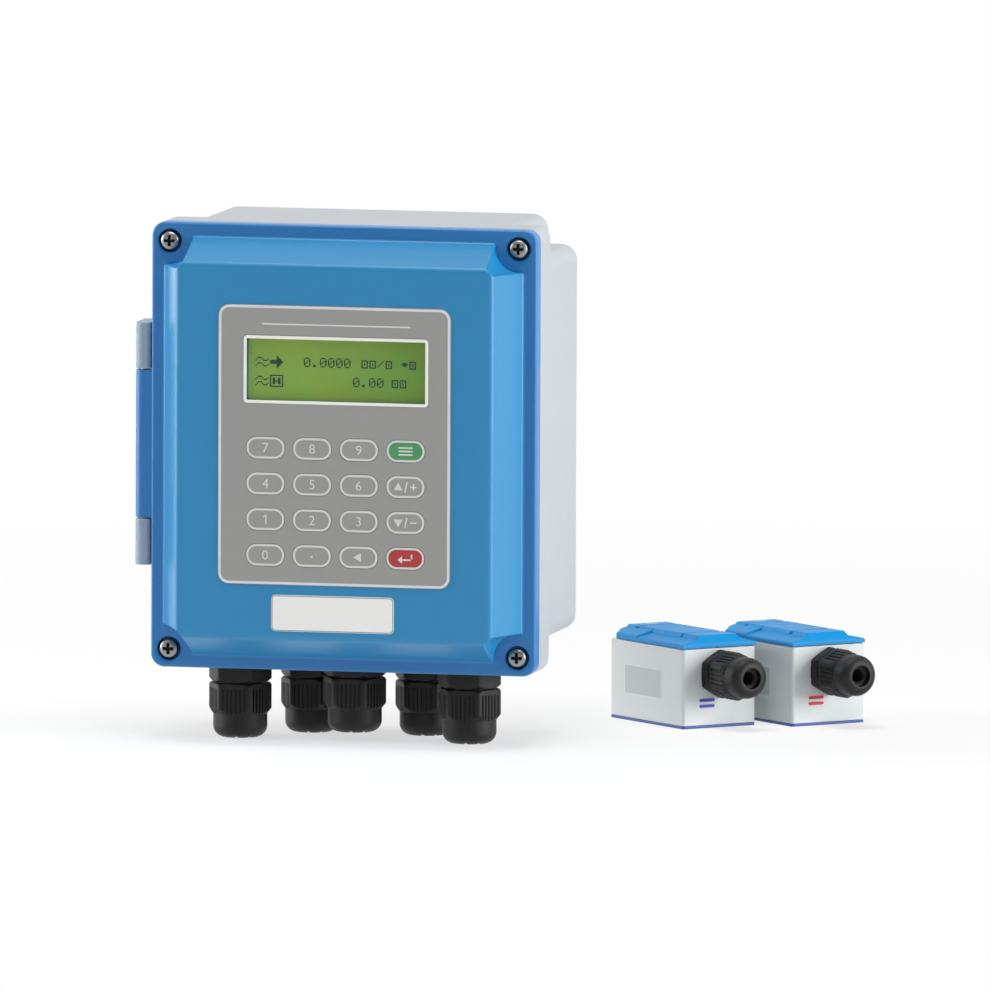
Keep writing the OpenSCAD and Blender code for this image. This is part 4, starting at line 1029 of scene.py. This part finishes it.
class FLOWMETER_OT_keypad(bpy.types.Operator):
    """Makes the keypad's film, its printed border and its sixteen keys with their marks"""
    bl_idname = "flow_meter.keypad"
    bl_label = "Keypad"

    def execute(self, context):
        x, z, w, h, r = OVERLAY
        outline = round_rect(w, h, r, x, z)
        x, z, w, h, r = WINDOW
        places = {key: middle_of(f"key_{key}")[0] for key in KEYS}
        holes = [round_rect(KEY_W + 0.3, KEY_H + 0.3, (KEY_H + 0.3 - KEY_FLAT) / 2, p[0], p[2])
                 for p in places.values()]
        film = Shape().solid(outline, Y_OVERLAY, Y_OVERLAY_BACK, 0.25, holes=[round_rect(w, h, r, x, z), *holes])
        piece("keypad_film", film, "cover", "overlay_grey", replaces=["keypad_overlay"])
        border = Shape().ink(inset(outline, 0.3), Y_OVERLAY, [inset(outline, 1.4)])
        border.ink(bar(x, TITLE_LINE_Z, 66.6, 0.6), Y_OVERLAY)
        piece("keypad_border", border, "cover", "ink_frame", "overlay_grey")
        for key, place in places.items():
            self.key(key, place[0], place[2])
        wear({"keypad_circuit": "board_green", "key_domes": "dome_steel"})
        return {"FINISHED"}

    def key(self, key, x, z):
        """One key: a film pad with a rounded edge and a slightly raised middle, its outline and its mark."""
        loop = round_rect(KEY_W, KEY_H, (KEY_H - KEY_FLAT) / 2, x, z, 10)
        front, back, swell = Y_OVERLAY - 0.1, Y_OVERLAY + 0.8, 0.14
        levels = [(inset(loop, i), y) for i, y in ((2.2, front - swell), (1.7, front - swell * 0.85),
                                                   (1.35, front - swell * 0.3), (1.1, front), (0.2, front),
                                                   (0.06, front + 0.05), (0.0, front + 0.2), (0.0, back))]
        pad = Shape().walls(levels).cap(*levels[0]).cap(loop, back)
        name, body = {"menu": "key_green", "enter": "key_red"}.get(key), f"key_{key}"
        slot = name or "key_grey"
        piece(f"{body}_pad", pad, body, name or "overlay_grey", slot, [body])
        mark = Shape().ink(inset(loop, 0.1), front, [inset(loop, 1.05)])
        outlines = key_legend(key)
        if outlines is None:
            print_figure(mark, key, x, z, 4.1, front - swell)
        else:
            for at, outline in enumerate(outlines):
                over = PRINT_T / 2 if at == 3 else 0  # a plus's second bar, so that the two share no face
                mark.ink(np.add(outline, [x, z]), front - swell - over)
        piece(f"{body}_mark", mark, body, "ink_white", slot)


class FLOWMETER_OT_display(bpy.types.Operator):
    """Makes the window with its frame and the figures of the display behind it"""
    bl_idname = "flow_meter.display"
    bl_label = "Display"

    def execute(self, context):
        x, z, w, h, r = WINDOW
        pane = Shape().solid(round_rect(w - 0.2, h - 0.2, r, x, z), Y_WINDOW, Y_OVERLAY_BACK, 0.1, 0.1)
        piece("display_window_pane", pane, "cover", "window_clear", replaces=["display_window"])
        ring = Shape().ink(round_rect(w - 0.4, h - 0.4, r, x, z), Y_WINDOW, [round_rect(w - 3.2, h - 3.2, 0.5, x, z)])
        piece("display_frame", ring, "cover", "ink_cream", "window_clear")
        figures = Shape()
        for text, left, top in (("0.0000", -13.8, 41.2), ("0.00", 8.2, 32.9), ("~>", -35.6, 41.6), ("~=", -35.6, 33.3),
                                ("::/:", 12.0, 41.2), ("::", 25.6, 32.9), ("*:", 29.9, 41.2)):
            dot_figures(figures, text, left, top, Y_LCD)
        piece("display_figures", figures, "cover", "ink_dark", "lcd_green")
        wear({"lcd_glass": "lcd_green", "lcd_bezel": "bezel_steel", "display_board": "display_board_green",
              "display_screws": "screw_steel"})
        return {"FINISHED"}


class FLOWMETER_OT_glands(bpy.types.Operator):
    """Makes the five cable glands' fixed bodies and their nuts"""
    bl_idname = "flow_meter.glands"
    bl_label = "Cable glands"

    def execute(self, context):
        bodies = Shape()
        for at, (_, _, rise) in enumerate(GLANDS):
            bodies.place = gland_place(at)
            bodies.grid(body_bands(BIG, rise), wrap_v=True)
            nut = nut_bands(BIG) + [0, 0, BIG["hex_h"] + BIG["gap"] - rise]
            node = f"gland_nut_{at + 1}"
            piece(f"{node}_body", Shape(bodies.place).grid(nut, wrap_v=True), node, "gland_black", replaces=[node])
        piece("gland_body_set", bodies, "base", "gland_black", replaces=["gland_bodies"])
        return {"FINISHED"}


class FLOWMETER_OT_transducers(bpy.types.Operator):
    """Makes the two transducers: case, cap, sole, gland, seal, nut and their plain marks"""
    bl_idname = "flow_meter.transducers"
    bl_label = "Transducers"

    def execute(self, context):
        for at in range(2):
            self.transducer(at, f"sensor_{at + 1}", ("ink_blue", "ink_red")[at])
        return {"FINISHED"}

    def transducer(self, at, name, mark_ink):
        """All the pieces of one transducer, in its own frame."""
        put, gland = sensor_place(at), sensor_gland_place(at)
        outline = round_rect(SENSOR_L, SENSOR_W, SENSOR_R)
        top, under = cap_surface()
        cap = Shape(put).grid(top, wrap_u=False).grid(under, wrap_u=False)
        for edge in (np.s_[0], np.s_[-1], np.s_[:, 0], np.s_[:, -1]):
            cap.grid(np.stack([top[edge], under[edge]]), wrap_u=False)
        nut_foot = SMALL["hex_h"] + SMALL["gap"]
        low = nut_foot + SMALL["nut_h"] / 2
        high = nut_foot + SMALL["nut_h"] + SMALL["dome"] - SMALL["mouth_len"] - 0.1
        ring = bands(np.arange(40) / 40 * 2 * math.pi, (3.0, 7.2, 7.2, 3.6, 3.0), (low, low, high, high, high - 0.6))
        marks = Shape(put)
        for level in MARK_LEVELS:
            marks.solid(bar(-6.5, level, 8.0, 1.4), SENSOR_L / 2 - 0.3, SENSOR_L / 2 + 0.04, axis="x")
        side, crown, field = -SENSOR_W / 2, SENSOR_H + CAP_RISE, round_rect(*PLATE)
        tab = bar(-SENSOR_L / 2 + 4.2, 0, 2.0, 6.0)

        def make(part, shape, look, slot=None, node=None, body=name, **how):
            piece(f"{name}_{part}", shape, body, look, slot, [f"{name}_{node}"] if node else (), **how)

        make("case_body", Shape(put).solid(inset(outline, 0.05), SOLE_T, SENSOR_H - 0.3, 0.3, 0.5, "z"),
             "sensor_grey", node="case")
        make("sole_plate", Shape(put).solid(outline, 0, SOLE_T - 0.05, 0.3, 0.3, "z"), "sole_blue", node="sole")
        make("cap_body", cap, "sensor_blue", node="cap", smooth=28, weld=2e-6)
        make("gland_body", Shape(gland).grid(body_bands(SMALL, 0.0), wrap_v=True), "gland_black", node="gland")
        make("seal", Shape(gland).grid(ring, wrap_v=True), "seal_rubber")
        make("nut_body", Shape(gland).grid(nut_bands(SMALL) + [0, 0, nut_foot], wrap_v=True), "gland_black",
             node="nut", body=f"{name}_nut")
        make("plate", Shape(put).solid(inset(field, 1.0), side - 0.06, side + 0.3, 0.02), "ink_grey", "sensor_grey")
        make("plate_frame", Shape(put).solid(field, side - 0.1, side + 0.3, 0.06, holes=[inset(field, 1.0)]),
             "ink_pale", "sensor_grey")
        make("mark", marks, mark_ink, "sensor_grey")
        make("tab_mark", Shape(put).solid(tab, crown - 0.3, crown + 0.04, axis="z"), "ink_grey", "sensor_blue")
        wear({f"{name}_core": "wedge_resin"})


class FLOWMETER_OT_stage(bpy.types.Operator):
    """Makes the pale floor, the soft lamps, the white surroundings and the camera"""
    bl_idname = "flow_meter.stage"
    bl_label = "Stage"

    def execute(self, context):
        scene = context.scene
        scene.view_settings.view_transform = "Standard"
        self.floor(scene.flow_meter)
        self.world(scene)
        for name, place, aim, size, power in LAMPS:
            lamp = bpy.data.lights.new(name, "AREA")
            lamp.size, lamp.energy = size, power
            holder = bpy.data.objects.new(name, lamp)
            holder.location = place
            holder.rotation_euler = (Vector(aim) - Vector(place)).to_track_quat("-Z", "Y").to_euler()
            scene.collection.objects.link(holder)
        self.camera(scene)
        return {"FINISHED"}

    def floor(self, look):
        """A wide floor under the glands' tips; to the camera it is mostly white, and keeps the shadow."""
        mesh = bpy.data.meshes.new("floor")
        mesh.from_pydata([(x, y, Z_FLOOR * MM) for y in (-6.0, 9.0) for x in (-6.0, 6.0)], [], [(0, 1, 3, 2)])
        tree = Tree("floor_white")
        seen, mirrored = tree.rays()
        away = tree.add("VectorMath", {"operation": "LENGTH"}, {0: tree.place}, out="Value")
        share = 0.6 + away.over(0.6, 0.7) * 0.4
        pale = tree.blend(tree.noise(40, 3), shade(tuple(look.floor), 0.98), tuple(look.floor))
        matt = tree.add("BsdfPrincipled", None, {"Base Color": pale, "Roughness": 0.9})
        white = tree.add("Emission", None, {"Color": (1.0, 1.0, 1.0), "Strength": 1.0})
        tree.end(tree.add("MixShader", None, {0: seen * share + mirrored * 0.9, 1: matt, 2: white}))
        mesh.materials.append(tree.material)
        ground = bpy.data.objects.new("floor", mesh)
        bpy.context.scene.collection.objects.link(ground)

    def world(self, scene):
        """White surroundings: one level for light, plain white to the camera, and in reflections white behind the
        object that fades to a dim room in front, by the Y part of the direction."""
        scene.world = bpy.data.worlds.new("surroundings")
        tree = Tree("surroundings", scene.world)
        seen, mirrored = tree.rays()
        depth = tree.add("SeparateXYZ", None, {0: tree.add("TexCoord", out="Generated")}, out=1)
        room = depth.over(0.0, 0.7) * 0.8 + 0.2
        level = seen + (1 - seen) * (mirrored * room + (1 - mirrored) * 0.18)
        tree.end(tree.add("Background", None, {"Color": (1.0, 1.0, 1.0), "Strength": level}))

    def camera(self, scene):
        """A long lens from the photograph's side: turned to the right, a little above and very slightly rolled."""
        azimuth, elevation, roll = (math.radians(turn) for turn in CAMERA_TURNS)
        back = Vector((math.sin(azimuth) * math.cos(elevation), -math.cos(azimuth) * math.cos(elevation),
                       math.sin(elevation)))
        lens = bpy.data.cameras.new("camera")
        lens.sensor_width, lens.lens = 36.0, LENS_PER_METRE * CAMERA_DISTANCE
        lens.clip_start, lens.clip_end = 0.1, 100.0
        camera = bpy.data.objects.new("camera", lens)
        turn = (-back).to_track_quat("-Z", "Y").to_matrix() @ Matrix.Rotation(roll, 3, "Z")
        aim = Vector(CAMERA_AIM) * MM
        camera.matrix_world = Matrix.Translation(aim + back * CAMERA_DISTANCE) @ turn.to_4x4()
        scene.collection.objects.link(camera)
        scene.camera = camera


STEPS = (FLOWMETER_OT_finishes, FLOWMETER_OT_base, FLOWMETER_OT_cover, FLOWMETER_OT_screws, FLOWMETER_OT_keypad,
         FLOWMETER_OT_display, FLOWMETER_OT_glands, FLOWMETER_OT_transducers, FLOWMETER_OT_stage)


class FLOWMETER_PT_panel(bpy.types.Panel):
    """Lists the settings and the steps that make the pieces"""
    bl_idname = "FLOWMETER_PT_panel"
    bl_label = "Flow meter"
    bl_space_type = "VIEW_3D"
    bl_region_type = "UI"
    bl_category = "Flow meter"

    def draw(self, context):
        look = context.scene.flow_meter
        for name in FlowMeterSettings.__annotations__:
            self.layout.prop(look, name)
        for step in STEPS:
            self.layout.operator(step.bl_idname)


def register():
    """Registers the settings, the operators and the panel."""
    for cls in (FlowMeterSettings, *STEPS, FLOWMETER_PT_panel):
        bpy.utils.register_class(cls)
    bpy.types.Scene.flow_meter = bpy.props.PointerProperty(type=FlowMeterSettings)


def unregister():
    """Removes what register added."""
    del bpy.types.Scene.flow_meter
    for cls in (FLOWMETER_PT_panel, *reversed(STEPS), FlowMeterSettings):
        bpy.utils.unregister_class(cls)


def main():
    """Makes the finishes and every piece."""
    register()
    for step in STEPS:
        group, name = step.bl_idname.split(".")
        getattr(getattr(bpy.ops, group), name)()


if __name__ == "__main__":
    main()
